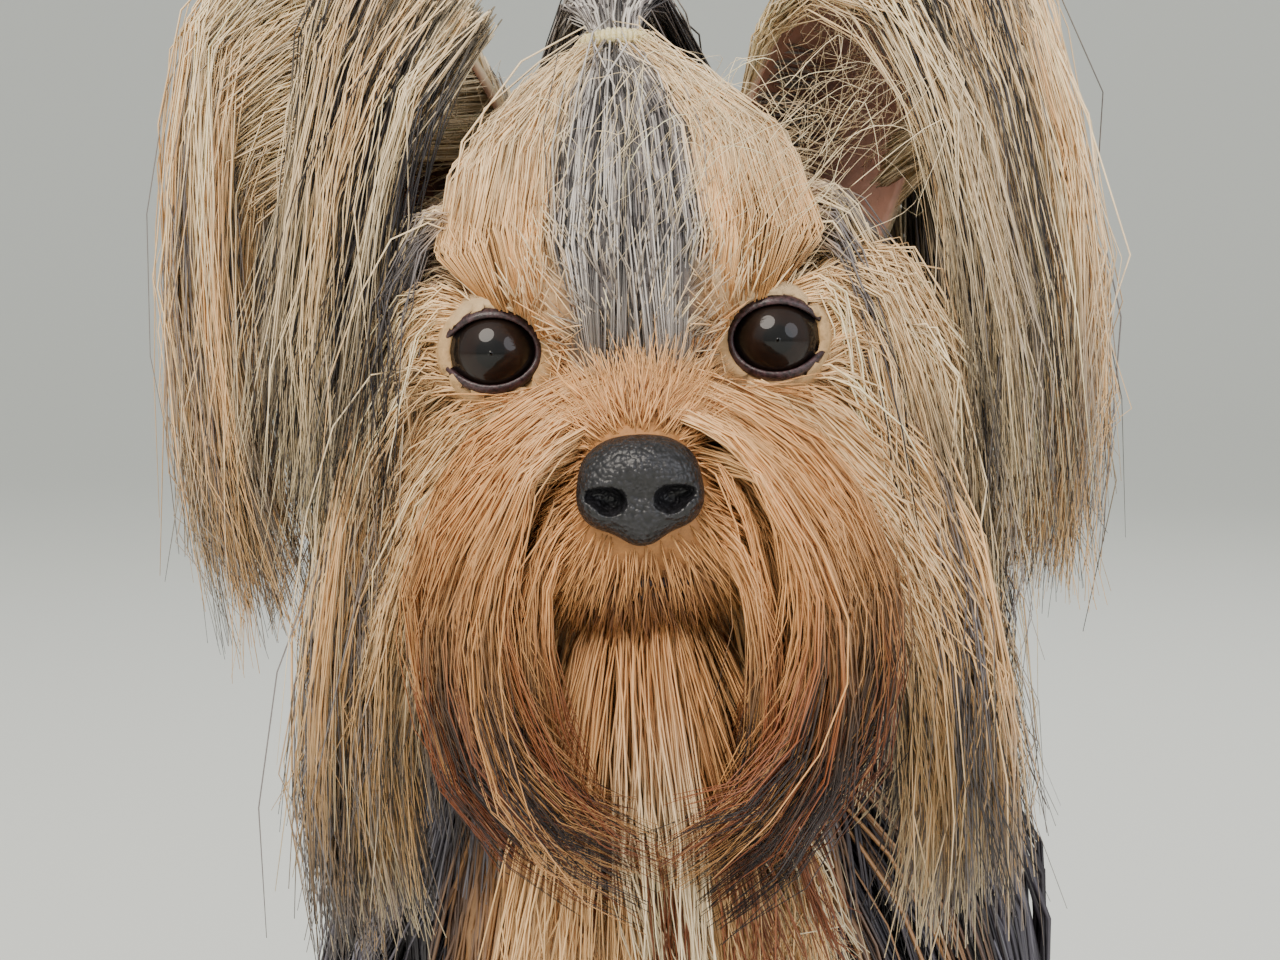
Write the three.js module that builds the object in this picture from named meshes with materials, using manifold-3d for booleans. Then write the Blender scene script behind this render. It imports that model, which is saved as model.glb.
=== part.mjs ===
// A Yorkshire terrier at life size, standing square with its head turned a little to its left.
// Millimetres, +Z up. The dog faces -Y, so its left side is +X. The floor is at z = 0.
import * as THREE from "three";
import { mergeVertices } from "three/addons/utils/BufferGeometryUtils.js";
import Module from "manifold-3d";

const wasm = await Module();
wasm.setup();

// Driving dimensions
const GAP = 0.3; // between parts that meet
const WITHERS = 200; // top of the shoulders, under the coat
const CHEST_HALF = 42; // half width of the rib cage
const HEAD_AT = [14, -104, 270]; // midpoint between the eyes
const HEAD_YAW = 11; // degrees, towards the dog's left
const HEAD_PITCH = 2; // degrees, nose down
const HEAD_ROLL = 2.7; // degrees, left eye up
const EYE_APART = 48;
const EYE_R = 8.2;
const NOSE_WIDE = 20;
const NOSE_AT = [0, -38, -20]; // in the head's own frame, whose origin is between the eyes
const LIP_DROP = 17; // from the middle of the nose down to the line of the mouth
const EAR_LONG = 58;
const EAR_WIDE = 41;
const BAND_AT = [-1, 27, 50];
const BAND_R = 6;
const FORELEG_X = 32;
const HINDLEG_X = 34;
const PAW_LONG = 36;
const COAT_CORE = 7; // how much of the coat's depth is solid on the torso
const LONG = 5, SHORT = 4; // rings of a long and of a short lock

// Vectors and random numbers

const v = (x, y, z) => new THREE.Vector3(x, y, z);
const DOWN = v(0, 0, -1);
const lerp = THREE.MathUtils.lerp;
const radians = THREE.MathUtils.degToRad;

function seeded(seed) {
  let a = seed >>> 0;
  return () => {
    a = (a + 0x6d2b79f5) >>> 0;
    let t = Math.imul(a ^ (a >>> 15), 1 | a);
    t = (t + Math.imul(t ^ (t >>> 7), 61 | t)) ^ t;
    return ((t ^ (t >>> 14)) >>> 0) / 4294967296;
  };
}

const headPose = new THREE.Matrix4().compose(
  v(...HEAD_AT),
  new THREE.Quaternion().setFromEuler(
    new THREE.Euler(radians(HEAD_PITCH), radians(-HEAD_ROLL), radians(HEAD_YAW), "ZXY"),
  ),
  v(1, 1, 1),
);
const headPoseBack = headPose.clone().invert();
const onHead = (x, y, z) => v(x, y, z).applyMatrix4(headPose);

// Flesh as distance functions: negative inside, positive outside

const egg = (x, y, z, rx, ry, rz) => (p) => {
  const dx = (p.x - x) / rx, dy = (p.y - y) / ry, dz = (p.z - z) / rz;
  const k = Math.hypot(dx, dy, dz);
  return (k * (k - 1)) / Math.max(1e-6, Math.hypot(dx / rx, dy / ry, dz / rz));
};

const taper = (from, to, r0, r1) => {
  const a = v(...from), along = v(...to).sub(a), length2 = along.lengthSq();
  return (p) => {
    const dx = p.x - a.x, dy = p.y - a.y, dz = p.z - a.z;
    const t = Math.min(1, Math.max(0, (dx * along.x + dy * along.y + dz * along.z) / length2));
    return Math.hypot(dx - t * along.x, dy - t * along.y, dz - t * along.z) - lerp(r0, r1, t);
  };
};

const blend = (soft, ...shapes) => (p) => {
  let d = shapes[0](p);
  for (let i = 1; i < shapes.length; i++) {
    const e = shapes[i](p), h = Math.max(0, soft - Math.abs(d - e)) / soft;
    d = Math.min(d, e) - (h * h * soft) / 4;
  }
  return d;
};

const grown = (shape, by) => (p) => shape(p) - by;
const both = (make) => [make(1), make(-1)];

const headLocal = blend(
  7,
  egg(0, 36, 13, 31, 38, 28), // cranium
  egg(0, 6, 9, 21, 15, 15), // brow
  ...both((s) => egg(s * 21.5, 12, 0, 14, 16, 12.5)), // round each eye
  ...both((s) => egg(s * 20, 27, -11, 15, 24, 18)), // cheeks
  taper([0, 4, -17], [0, -25, -22], 16.5, 12), // muzzle
  taper([0, -2, -9], [0, -31, -14.5], 8, 7), // bridge of the nose
  ...both((s) => egg(s * 6.5, -22, -29, 9, 13, 9)), // upper lips
  taper([0, 22, -33], [0, -19, -37], 12, 8), // lower jaw
);
const head = (p) => headLocal(p.clone().applyMatrix4(headPoseBack));

const torso = blend(
  22,
  egg(0, -8, WITHERS - 50, CHEST_HALF, 56, 50), // rib cage
  egg(0, 72, WITHERS - 42, CHEST_HALF - 6, 70, 38), // loin
  egg(0, 122, WITHERS - 45, CHEST_HALF - 4, 42, 42), // rump
);
const nape = onHead(0, 50, -8);
const neck = taper([0, -18, WITHERS - 32], nape.toArray(), 35, 24);

const foreleg = (s) =>
  blend(
    8,
    taper([s * (FORELEG_X - 2), -20, 126], [s * FORELEG_X, -16, 100], 15, 12),
    taper([s * FORELEG_X, -16, 100], [s * FORELEG_X, -30, 38], 11.5, 8.5),
    taper([s * FORELEG_X, -30, 38], [s * FORELEG_X, -34, 16], 8.5, 9),
  );
const hindleg = (s) =>
  blend(
    10,
    taper([s * (HINDLEG_X - 4), 124, 140], [s * HINDLEG_X, 102, 100], 24, 16),
    taper([s * HINDLEG_X, 102, 100], [s * (HINDLEG_X - 1), 146, 54], 15, 8),
    taper([s * (HINDLEG_X - 1), 146, 54], [s * (HINDLEG_X - 1), 138, 16], 8, 8.5),
  );
const TAIL_LINE = [
  [0, 152, 184],
  [0, 172, 200],
  [0, 194, 208],
  [0, 216, 205],
];
const tail = blend(
  5,
  ...TAIL_LINE.slice(1).map((to, i) => taper(TAIL_LINE[i], to, 10 - 1.6 * i, 8.4 - 1.6 * i)),
);

// Where a distance function falls off fastest, pointing outwards
function outward(shape, p) {
  const e = 0.5;
  return v(
    shape(v(p.x + e, p.y, p.z)) - shape(v(p.x - e, p.y, p.z)),
    shape(v(p.x, p.y + e, p.z)) - shape(v(p.x, p.y - e, p.z)),
    shape(v(p.x, p.y, p.z + e)) - shape(v(p.x, p.y, p.z - e)),
  ).normalize();
}

// Solids: three.js geometry in, closed solid out

function solidOf(geometry) {
  const bare = new THREE.BufferGeometry().setAttribute("position", geometry.getAttribute("position"));
  const merged = mergeVertices(bare.setIndex(geometry.index), 1e-4);
  const make = (triVerts) => {
    const vertProperties = new Float32Array(merged.attributes.position.array);
    const mesh = new wasm.Mesh({ numProp: 3, vertProperties, triVerts });
    mesh.merge();
    return new wasm.Manifold(mesh);
  };
  const faces = new Uint32Array(merged.index.array), made = make(faces);
  if (made.volume() >= 0) return made;
  for (let i = 0; i < faces.length; i += 3) [faces[i + 1], faces[i + 2]] = [faces[i + 2], faces[i + 1]];
  return make(faces);
}

const join = (solids) => wasm.Manifold.union(solids);

function largest(solid) {
  const pieces = solid.decompose();
  return pieces.reduce((best, s) => (s.volume() > best.volume() ? s : best), pieces[0]);
}

// The faces of a solid, with points that fall together but belong to two surfaces drawn back a hair
function geometryOf(solid) {
  const made = solid.getMesh(), points = new THREE.BufferAttribute(new Float32Array(made.vertProperties), 3);
  const geometry = new THREE.BufferGeometry().setAttribute("position", points);
  geometry.setIndex(new THREE.BufferAttribute(made.triVerts, 1)).computeVertexNormals();
  const at = new Map(), normals = geometry.getAttribute("normal");
  for (let i = 0; i < points.count; i++) {
    const place = [points.getX(i), points.getY(i), points.getZ(i)].map((n) => Math.round(n * 1000)).join();
    at.set(place, [...(at.get(place) ?? []), i]);
  }
  for (const shared of at.values())
    if (shared.length > 1)
      for (const i of shared) {
        const p = v().fromBufferAttribute(points, i).addScaledVector(v().fromBufferAttribute(normals, i), -0.01);
        points.setXYZ(i, p.x, p.y, p.z);
      }
  return geometry;
}

// The point where a ray from inside a distance function comes out of it
function reachOut(shape, start, ray) {
  const p = start.clone();
  for (let step = 0; step < 60; step++) {
    const left = shape(p);
    p.addScaledVector(ray, -left * 0.85);
    if (Math.abs(left) < 0.003) break;
  }
  return p;
}

// A ball whose every vertex is carried out from a line to the surface of a distance function
function castSkin(shape, from, to, detail) {
  const ball = new THREE.IcosahedronGeometry(1, detail);
  const points = ball.getAttribute("position");
  const axis = to.clone().sub(from), unit = axis.clone().normalize();
  for (let i = 0; i < points.count; i++) {
    const ray = v().fromBufferAttribute(points, i).normalize();
    const start = from.clone().addScaledVector(axis, (ray.dot(unit) + 1) / 2);
    const end = reachOut(shape, start, ray);
    points.setXYZ(i, end.x, end.y, end.z);
  }
  return solidOf(ball);
}

// A closed body through rings of points, ending in a single point
function ringBody(rings, tip) {
  const sides = rings[0].length, points = [...rings.flat(), tip], faces = [];
  for (let i = 0; i + 1 < rings.length; i++)
    for (let j = 0; j < sides; j++) {
      const a = i * sides + j, b = i * sides + ((j + 1) % sides);
      faces.push(a, b, a + sides, b, b + sides, a + sides);
    }
  const last = (rings.length - 1) * sides, end = points.length - 1;
  for (let j = 0; j < sides; j++) faces.push(last + j, last + ((j + 1) % sides), end);
  for (let j = 2; j < sides; j++) faces.push(0, j, j - 1);
  return solidOf(new THREE.BufferGeometry().setFromPoints(points).setIndex(faces));
}

// A closed body round a bent line, each ring at the distance that the radius gives for its place and direction
function tubeBody(line, rings, sides, reach) {
  const curve = new THREE.CatmullRomCurve3(line, false, "centripetal");
  const loops = Array.from({ length: rings + 1 }, (_, i) => {
    const middle = curve.getPointAt(i / rings), along = curve.getTangentAt(i / rings);
    const across = v(1, 0, 0.01).addScaledVector(along, -along.x - 0.01 * along.z).normalize();
    const up = along.clone().cross(across);
    return Array.from({ length: sides }, (_, j) => {
      const turn = (j / sides) * 2 * Math.PI;
      const ray = across.clone().multiplyScalar(Math.cos(turn)).addScaledVector(up, Math.sin(turn));
      return reach(middle, ray, i / rings);
    });
  });
  return ringBody(loops, reach(curve.getPointAt(1), curve.getTangentAt(1), 1));
}
const round = (radius) => (p, ray, t) => p.clone().addScaledVector(ray, radius(t));

// A thin closed sheet over a grid of points, alike on both faces
function sheetBody(at, across, along, thick) {
  const points = [], faces = [], row = across + 1;
  const facing = (i, j) => {
    const a = at(Math.min(i + 1, across) / across, j / along).sub(at(Math.max(i - 1, 0) / across, j / along));
    const b = at(i / across, Math.min(j + 1, along) / along).sub(at(i / across, Math.max(j - 1, 0) / along));
    return a.cross(b).normalize();
  };
  for (const side of [0.5, -0.5])
    for (let j = 0; j <= along; j++)
      for (let i = 0; i <= across; i++)
        points.push(at(i / across, j / along).addScaledVector(facing(i, j), side * thick));
  const half = row * (along + 1);
  for (let j = 0; j < along; j++)
    for (let i = 0; i < across; i++) {
      const a = j * row + i, b = a + 1, c = a + row, d = c + 1;
      faces.push(a, b, d, a, d, c, half + a, half + d, half + b, half + a, half + c, half + d);
    }
  const edge = (a, b) => faces.push(a, half + a, half + b, a, half + b, b);
  for (let i = 0; i < across; i++) {
    edge(i, i + 1);
    edge(along * row + i + 1, along * row + i);
  }
  for (let j = 0; j < along; j++) {
    edge((j + 1) * row, j * row);
    edge(j * row + across, (j + 1) * row + across);
  }
  return solidOf(new THREE.BufferGeometry().setFromPoints(points).setIndex(faces));
}

const boxBody = (low, high, pose = new THREE.Matrix4()) =>
  solidOf(
    new THREE.BoxGeometry(high[0] - low[0], high[1] - low[1], high[2] - low[2])
      .translate((low[0] + high[0]) / 2, (low[1] + high[1]) / 2, (low[2] + high[2]) / 2)
      .applyMatrix4(pose),
  );

// A ball in the head's own frame
const ballBody = (centre, r, wide, high, stretch) =>
  solidOf(
    new THREE.SphereGeometry(r, wide, high).scale(...stretch).translate(...centre).applyMatrix4(headPose),
  );

// Locks of hair

// The line that a lock follows when it grows along its lie, falls, and rests on what is under it
function fallingLine({ root, lie, length, pull, lift, under, sink, bend = v(0, 0, 0), rings = SHORT }) {
  const start = root.clone().addScaledVector(outward(under, root), -under(root));
  const face = outward(under, start);
  const line = [start.clone().addScaledVector(face, -sink)];
  const step = length / rings;
  const way = lie.clone().normalize();
  let p = start.clone().addScaledVector(face, 0.2);
  for (let i = 1; i <= rings; i++) {
    way.addScaledVector(DOWN, pull).addScaledVector(bend, 1 / rings).normalize();
    const next = p.clone().addScaledVector(way, step);
    const want = lift * Math.min(1, (i / rings) * 2.5);
    for (let k = 0; k < 3; k++) {
      const depth = want - under(next);
      if (depth > 0) next.addScaledVector(outward(under, next), depth);
    }
    way.copy(next).sub(p).normalize();
    p = next;
    line.push(p.clone());
  }
  return line;
}

// The line through a few chosen points, kept off what is under it
function chosenLine({ through, lift, under, sink, rings = SHORT }) {
  const curve = new THREE.CatmullRomCurve3(through, false, "centripetal");
  const line = curve.getSpacedPoints(rings);
  return line.map((p, i) => {
    if (i === 0) return p.addScaledVector(outward(under, p), -under(p) - sink);
    for (let k = 0; k < 3; k++) {
      const depth = lift - under(p);
      if (depth > 0) p.addScaledVector(outward(under, p), depth);
    }
    return p;
  });
}

// A flat lock with a low ridge, widest a third of the way down and drawn out to a point
function lockBody(line, width, thick, under, grow) {
  const rings = [];
  for (let i = 0; i < line.length - 1; i++) {
    const t = i / (line.length - 1);
    const along = line[i + 1].clone().sub(line[Math.max(0, i - 1)]).normalize();
    const face = outward(under, line[i]);
    face.addScaledVector(along, -face.dot(along)).normalize();
    const side = along.clone().cross(face);
    const half = (width / 2) * (0.62 + 1.5 * t - 1.9 * t * t) + 2 * grow;
    const ridge = thick * (0.75 - 0.45 * t) + 1.5 * grow, base = thick * 0.25 * (1 - t) + grow;
    const middle = line[i].clone().addScaledVector(along, i ? 0 : -2 * grow);
    const foot = middle.clone().addScaledVector(face, -base);
    rings.push([
      foot.clone().addScaledVector(side, -half),
      middle.addScaledVector(face, ridge),
      foot.clone().addScaledVector(side, half),
    ]);
  }
  const tip = line[line.length - 1].clone();
  tip.addScaledVector(tip.clone().sub(line[line.length - 2]).normalize(), 3 * grow);
  return ringBody(rings, tip);
}

// A group of locks as a list of functions of the growth, so that the same locks also give their clearance
function locks({ count, seed, width, thick, under, line }) {
  const random = seeded(seed);
  const vary = () => random() * 2 - 1;
  return Array.from({ length: count }, (_, i) => {
    const path = line(i / (count - 1), vary);
    const size = width * (1 + 0.18 * vary());
    return (grow) => lockBody(path, size, thick, under, grow);
  });
}

// The head, modelled whole and parted by thin cuts

const MOUTH_Z = NOSE_AT[2] - LIP_DROP;
const SEAM = 0.6; // share of a part's growth that its cut faces take, so that clearances stay in the gap
const drawnFromSide = new THREE.Matrix4().makeBasis(v(0, 1, 0), v(0, 0, 1), v(1, 0, 0)).premultiply(headPose);

const headWhole = (grow) => castSkin(grown(head, grow), onHead(0, 32, 4), onHead(0, -8, -15), 5);

function jawRegion(g) {
  const shape = new THREE.Shape();
  shape.moveTo(-60, MOUTH_Z + g);
  shape.lineTo(-26, MOUTH_Z + 0.4 + g);
  shape.quadraticCurveTo(-12, MOUTH_Z + 2 + g, -3 + g, MOUTH_Z + 6 + g);
  shape.lineTo(9 + g, MOUTH_Z - 4);
  shape.lineTo(9 + g, -80);
  shape.lineTo(-60, -80);
  const body = new THREE.ExtrudeGeometry(shape, { depth: 80, bevelEnabled: false, curveSegments: 5 });
  return solidOf(body.translate(0, 0, -40).applyMatrix4(drawnFromSide));
}
const sideRegion = (s, inner, outer, front, back, g) =>
  boxBody(
    [s > 0 ? inner - g : -outer, front, -80],
    [s > 0 ? outer : -inner + g, back, 3 + g],
    headPose,
  );
const muzzleRegion = (s, g) => sideRegion(s, 0.15, 60, -70, -5 + g, g);
const cheekRegion = (s, g) => sideRegion(s, 19, 80, 13 - g, 62 + g, g);

// Lids: a shell round each eye, open in front in the shape of an almond
const eyeAt = (s) => [(s * EYE_APART) / 2, 4.6, 0];
const lidShell = (s, grow) => ballBody(eyeAt(s), EYE_R + 1.7 + grow, 12, 7, [1, 1, 1]);
function lidOpening(s) {
  const shape = new THREE.Shape();
  shape.moveTo(-s * 8.2, -1.6);
  shape.quadraticCurveTo(-s * 3, 9.2, s * 3.4, 5.2);
  shape.quadraticCurveTo(s * 8.6, 2.2, s * 6.8, -1.4);
  shape.quadraticCurveTo(s * 2.4, -9.4, -s * 8.2, -1.6);
  const body = new THREE.ExtrudeGeometry(shape, { depth: 20, bevelEnabled: false, curveSegments: 6 });
  body.rotateX(Math.PI / 2).rotateZ(s * 0.16).translate(eyeAt(s)[0], eyeAt(s)[1] - 1.5, eyeAt(s)[2]);
  return solidOf(body.applyMatrix4(headPose));
}

function cranium(grow) {
  let solid = headWhole(grow);
  const cut = GAP - SEAM * grow;
  solid = solid.subtract(jawRegion(cut));
  for (const s of [1, -1]) solid = solid.subtract(muzzleRegion(s, cut)).subtract(cheekRegion(s, cut));
  solid = join([solid, lidShell(1, grow), lidShell(-1, grow)]);
  if (grow === 0) solid = solid.subtract(lidOpening(1)).subtract(lidOpening(-1));
  return solid;
}
const jaw = (grow) => headWhole(grow).intersect(jawRegion(SEAM * grow));
const muzzle = (s) => (grow) =>
  headWhole(grow).intersect(muzzleRegion(s, SEAM * grow)).subtract(jawRegion(GAP + 0.2 - SEAM * grow));
const cheek = (s) => (grow) => headWhole(grow).intersect(cheekRegion(s, SEAM * grow));

// The nose: a broad pad over two wings, with a comma of a nostril in each
const noseLocal = blend(
  3,
  egg(0, NOSE_AT[1] + 1.5, NOSE_AT[2] + 3.6, NOSE_WIDE / 2 - 0.8, 7, 5.4),
  ...both((s) => egg(s * 5.6, NOSE_AT[1] + 0.5, NOSE_AT[2] - 1, 4.8, 5.6, 5.4)),
  egg(0, NOSE_AT[1] + 0.5, NOSE_AT[2] - 4.6, 4.6, 4.8, 4.6),
);
const nosePad = (p) => noseLocal(p.clone().applyMatrix4(headPoseBack));
function nose(grow) {
  const middle = onHead(NOSE_AT[0], NOSE_AT[1] + 1, NOSE_AT[2]);
  let solid = castSkin(grown(nosePad, grow), middle, middle.clone().add(v(0, 0, 0.01)), 2);
  if (grow === 0)
    for (const s of [1, -1]) {
      const hole = [s * 4.9, NOSE_AT[1] - 5, NOSE_AT[2] - 1.2];
      const slit = [s * 7.6, NOSE_AT[1] - 3, NOSE_AT[2] - 2.2];
      solid = solid.subtract(ballBody(hole, 1, 7, 5, [2.5, 4.2, 2.2]));
      solid = solid.subtract(ballBody(slit, 1, 6, 4, [3, 3.2, 0.9]));
    }
  return solid;
}

// Ears: a thin leather rolled into a cup that opens forwards and a little out
function earAt(s) {
  const foot = onHead(s * 33, 40, 24), tip = onHead(s * 57, 42, 24 + EAR_LONG);
  const up = tip.clone().sub(foot), rise = up.clone().normalize();
  const front = onHead(s * 0.42, -0.9, 0).sub(onHead(0, 0, 0));
  front.addScaledVector(rise, -front.dot(rise)).normalize();
  const side = rise.clone().cross(front).multiplyScalar(-1);
  return (u, t) => {
    const half = (EAR_WIDE / 2) * Math.max(0.05, Math.pow(1 - t, 0.72) * (0.86 + 0.75 * t));
    const roll = radians(82 - 38 * t), turn = (2 * u - 1) * roll, round = half / Math.sin(roll);
    return foot
      .clone()
      .addScaledVector(up, t)
      .addScaledVector(side, round * Math.sin(turn))
      .addScaledVector(front, -round * (Math.cos(turn) - Math.cos(roll)));
  };
}
const ear = (s) => (grow) => sheetBody(earAt(s), 6, 7, 1.8 + 2 * grow);

// The band, and the stem of hair that it holds
const bandWay = onHead(0, 0.42, 0.91).sub(onHead(0, 0, 0)).normalize();
const bandAt = onHead(...BAND_AT);
const BAND_THICK = 1.6;
function hairBand(grow) {
  const ring = new THREE.TorusGeometry(BAND_R, BAND_THICK + grow, 6, 14);
  ring.applyQuaternion(new THREE.Quaternion().setFromUnitVectors(v(0, 0, 1), bandWay));
  return solidOf(ring.translate(...bandAt.toArray()));
}
function stem(grow) {
  const thick = BAND_R - BAND_THICK - GAP - 0.2;
  const body = new THREE.CylinderGeometry(thick + grow, thick + grow, 12 + 2 * grow, 12);
  body.applyQuaternion(new THREE.Quaternion().setFromUnitVectors(v(0, 1, 0), bandWay));
  return solidOf(body.translate(...bandAt.toArray()));
}

// Paws: four toes under one pad, flat where they meet the floor
const TOES = [-1.5, -0.5, 0.5, 1.5];
const toeX = (i) => i * 5.4;
const toeY = (i) => -PAW_LONG * 0.31 + Math.abs(i) * 2.6;
function paw(x, y) {
  const shape = blend(
    2.5,
    egg(x, y + 3, 9, 11, 14, 10.5),
    ...TOES.map((i) => egg(x + toeX(i), y + toeY(i), 5.6, 4.1, 7.6, 6.4)),
  );
  return (grow) =>
    castSkin(grown(shape, grow), v(x, y - 5, 7), v(x, y + 6, 8), 2).intersect(
      boxBody([x - 40, y - 50, -grow], [x + 40, y + 50, 60]),
    );
}
function claw(x, y, i) {
  const root = v(x + toeX(i), y + toeY(i) - 5, 5.6), tip = v(x + toeX(i) * 1.1, y + toeY(i) - 12.4, 1.2);
  const crown = root.clone().lerp(tip, 0.5).add(v(0, 0, 1));
  return (grow) => tubeBody([root, crown, tip], 2, 4, round((t) => 1.6 - 1.2 * t + grow));
}

// Lips: a thin roll on each side of the line of the mouth
const lipPoint = (turn, z) => {
  const ray = onHead(Math.sin(turn), -Math.cos(turn), 0).sub(onHead(0, 0, 0));
  return reachOut(head, onHead(0, -12, z), ray);
};
const lip = (z, from, to) => (grow) => {
  const line = Array.from({ length: 7 }, (_, i) => {
    const turn = lerp(from, to, i / 6);
    return lipPoint(radians(turn), z - 0.03 * Math.abs(turn));
  });
  return tubeBody(line, 8, 5, round(() => 1.2 + SEAM * grow));
};

// Legs and tail: a skin cast round a bent line
const limbSkin = (shape, line, rings, sides) => (grow) =>
  tubeBody(line.map((p) => v(...p)), rings, sides, (p, ray) => reachOut(grown(shape, grow), p, ray));
const forelegLine = (s) => [
  [s * (FORELEG_X - 2), -20, 122],
  [s * FORELEG_X, -17, 98],
  [s * FORELEG_X, -30, 38],
  [s * FORELEG_X, -34, 14],
];
const hindlegLine = (s) => [
  [s * (HINDLEG_X - 4), 122, 136],
  [s * HINDLEG_X, 106, 100],
  [s * (HINDLEG_X - 1), 142, 54],
  [s * (HINDLEG_X - 1), 138, 14],
];

// The coat of each part, in groups of locks

// What the locks of each part lie on, and what those that hang have to clear
const torsoCore = grown(torso, COAT_CORE);
const neckCore = grown(neck, 4);
const legsCoat = blend(4, ...both((s) => grown(foreleg(s), 12)), ...both((s) => grown(hindleg(s), 10)));
const flankUnder = blend(6, torsoCore, legsCoat);
const bodyCoat = blend(6, grown(torso, 17), grown(neck, 13));
const headUnder = blend(4, head, grown(bodyCoat, 1));

const at = (points) => points.map((p) => onHead(...p));

const foreheadLocks = locks({
  count: 7, seed: 3, width: 12, thick: 3, under: head,
  line: (share, vary) => {
    const a = share * 2 - 1, brow = 1 - a * a;
    const foot = [a * 24, -4 - 5 * brow, 15 - 9 * brow];
    return chosenLine({
      through: at([foot, [a * 26 + vary(), 2 - 3 * brow, 27], [a * 18, 13, 42], [a * 5, 22, 47]]),
      lift: 1.2, under: head, sink: 3,
    });
  },
});

const cheekLocks = (s) => [
  ...locks({
    count: 6, seed: 21 + s, width: 10.5, thick: 3, under: headUnder,
    line: (share, vary) => {
      const y = 15 + 32 * share;
      return chosenLine({
        through: at([
          [s * 34, y, -3 - 3 * share],
          [s * 41, y - 2, -22],
          [s * (50 + 2 * vary()), y - 5, -48],
          [s * (51 + 4 * vary()), y - 6 + 3 * vary(), -76 - 8 * vary()],
        ]),
        lift: 1, under: headUnder, sink: 3.5, rings: LONG,
      });
    },
  }),
  ...locks({
    count: 4, seed: 31 + s, width: 11, thick: 3, under: headUnder,
    line: (share, vary) => {
      const y = 15 + 26 * share;
      return chosenLine({
        through: at([
          [s * 30, y, -22],
          [s * 35, y - 1, -38],
          [s * (42 + 2 * vary()), y - 2, -58],
          [s * (41 + 3 * vary()), y - 2 + 2 * vary(), -84 - 7 * vary()],
        ]),
        lift: 0.8, under: headUnder, sink: 3.5,
      });
    },
  }),
];

const moustacheLocks = (s) => [
  ...locks({
    count: 4, seed: 41 + s, width: 9.4, thick: 2.6, under: head,
    line: (share, vary) => {
      const y = -8 - 20 * share;
      return chosenLine({
        through: at([
          [s * (11 - 2 * share), y, -9 - 3 * share],
          [s * (27 - 5 * share), y - 3, -17 - 2 * share],
          [s * (39 - 9 * share + vary()), y - 4, -42],
          [s * (33 - 6 * share), y - 3, -64],
          [s * (22 - 5 * share + 3 * vary()), y - 4, -80 - 5 * vary()],
        ]),
        lift: 1, under: head, sink: 3, rings: LONG,
      });
    },
  }),
  ...locks({
    count: 4, seed: 51 + s, width: 7.5, thick: 2.4, under: head,
    line: (share, vary) => {
      const y = -10 - 19 * share;
      return chosenLine({
        through: at([
          [s * (13 - 3 * share), y, -27],
          [s * (21 - 4 * share), y, -38],
          [s * (24 - 6 * share + vary()), y, -54],
          [s * (19 - 5 * share + 2 * vary()), y + 1, -72 - 4 * vary()],
        ]),
        lift: 0.8, under: head, sink: 3,
      });
    },
  }),
];

const beardLocks = [0, 1].flatMap((tier) =>
  locks({
    count: 5, seed: 61 + tier, width: 9, thick: 3, under: head,
    line: (share, vary) => {
      const a = share * 2 - 1, y = tier ? -4 : -18;
      const front = tier ? -4 : -9;
      return chosenLine({
        through: at([
          [a * 9, y + 5 * a * a, -41],
          [a * 13, y + front, -58],
          [a * (17 + 3 * tier) + vary(), y + front + 1, -80],
          [a * (19 + 4 * tier) + 2 * vary(), y + front + 2 * vary(), -106 + 7 * Math.abs(a) + 5 * vary()],
        ]),
        lift: 0.8, under: head, sink: 4,
      });
    },
  }),
);

// Fringes run from the rim of each ear: the outer ones straight down, the inner ones over the front of the cup
const earLocks = (s) => {
  const rim = earAt(s), bare = (p) => head(p) - 4;
  const rooted = (u, t, rest) => {
    const root = rim(u, t), inside = rim(u < 0.5 ? u + 0.1 : u - 0.1, t);
    const curve = new THREE.CatmullRomCurve3([inside.lerp(root, 0.4), ...at(rest)], false, "centripetal");
    return curve.getSpacedPoints(LONG);
  };
  const outer = s > 0 ? 1 : 0;
  return [
    ...locks({
      count: 4, seed: 71 + s, width: 12, thick: 2.6, under: bare,
      line: (share, vary) => {
        const t = 0.3 + 0.6 * share;
        return rooted(outer ? 0.97 : 0.03, t, [
          [s * (63 + 9 * share), 38 - 6 * share, 34 + 22 * share],
          [s * (74 + 8 * share + vary()), 34 - 6 * share, 4 + 16 * share],
          [s * (74 + 6 * share + 2 * vary()), 30 - 8 * share, -34 + 12 * share + 7 * vary()],
        ]);
      },
    }),
    ...locks({
      count: 4, seed: 81 + s, width: 10, thick: 2.4, under: bare,
      line: (share, vary) => {
        const t = 0.42 + 0.5 * share;
        return rooted(outer ? 0.03 : 0.97, t, [
          [s * (44 + 9 * share), 17 - 2 * share, 44 + 26 * share],
          [s * (58 + 4 * share + vary()), 14 + 2 * share, 12 + 16 * share],
          [s * (61 + 3 * vary()), 14 + 3 * share, -26 + 14 * share + 6 * vary()],
        ]);
      },
    }),
    ...locks({
      count: 3, seed: 91 + s, width: 12, thick: 2.6, under: bare,
      line: (share, vary) =>
        rooted(0.5 + (outer ? 1 : -1) * (share - 0.45) * 0.6, 0.34 + 0.4 * share, [
          [s * (46 + 16 * share), 62 - 4 * share, 40 + 14 * share],
          [s * (52 + 16 * share + vary()), 62 - 8 * share, 8 + 8 * share],
          [s * (52 + 16 * share + 2 * vary()), 58 - 8 * share, -24 + 6 * vary()],
        ]),
    }),
  ];
};

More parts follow.
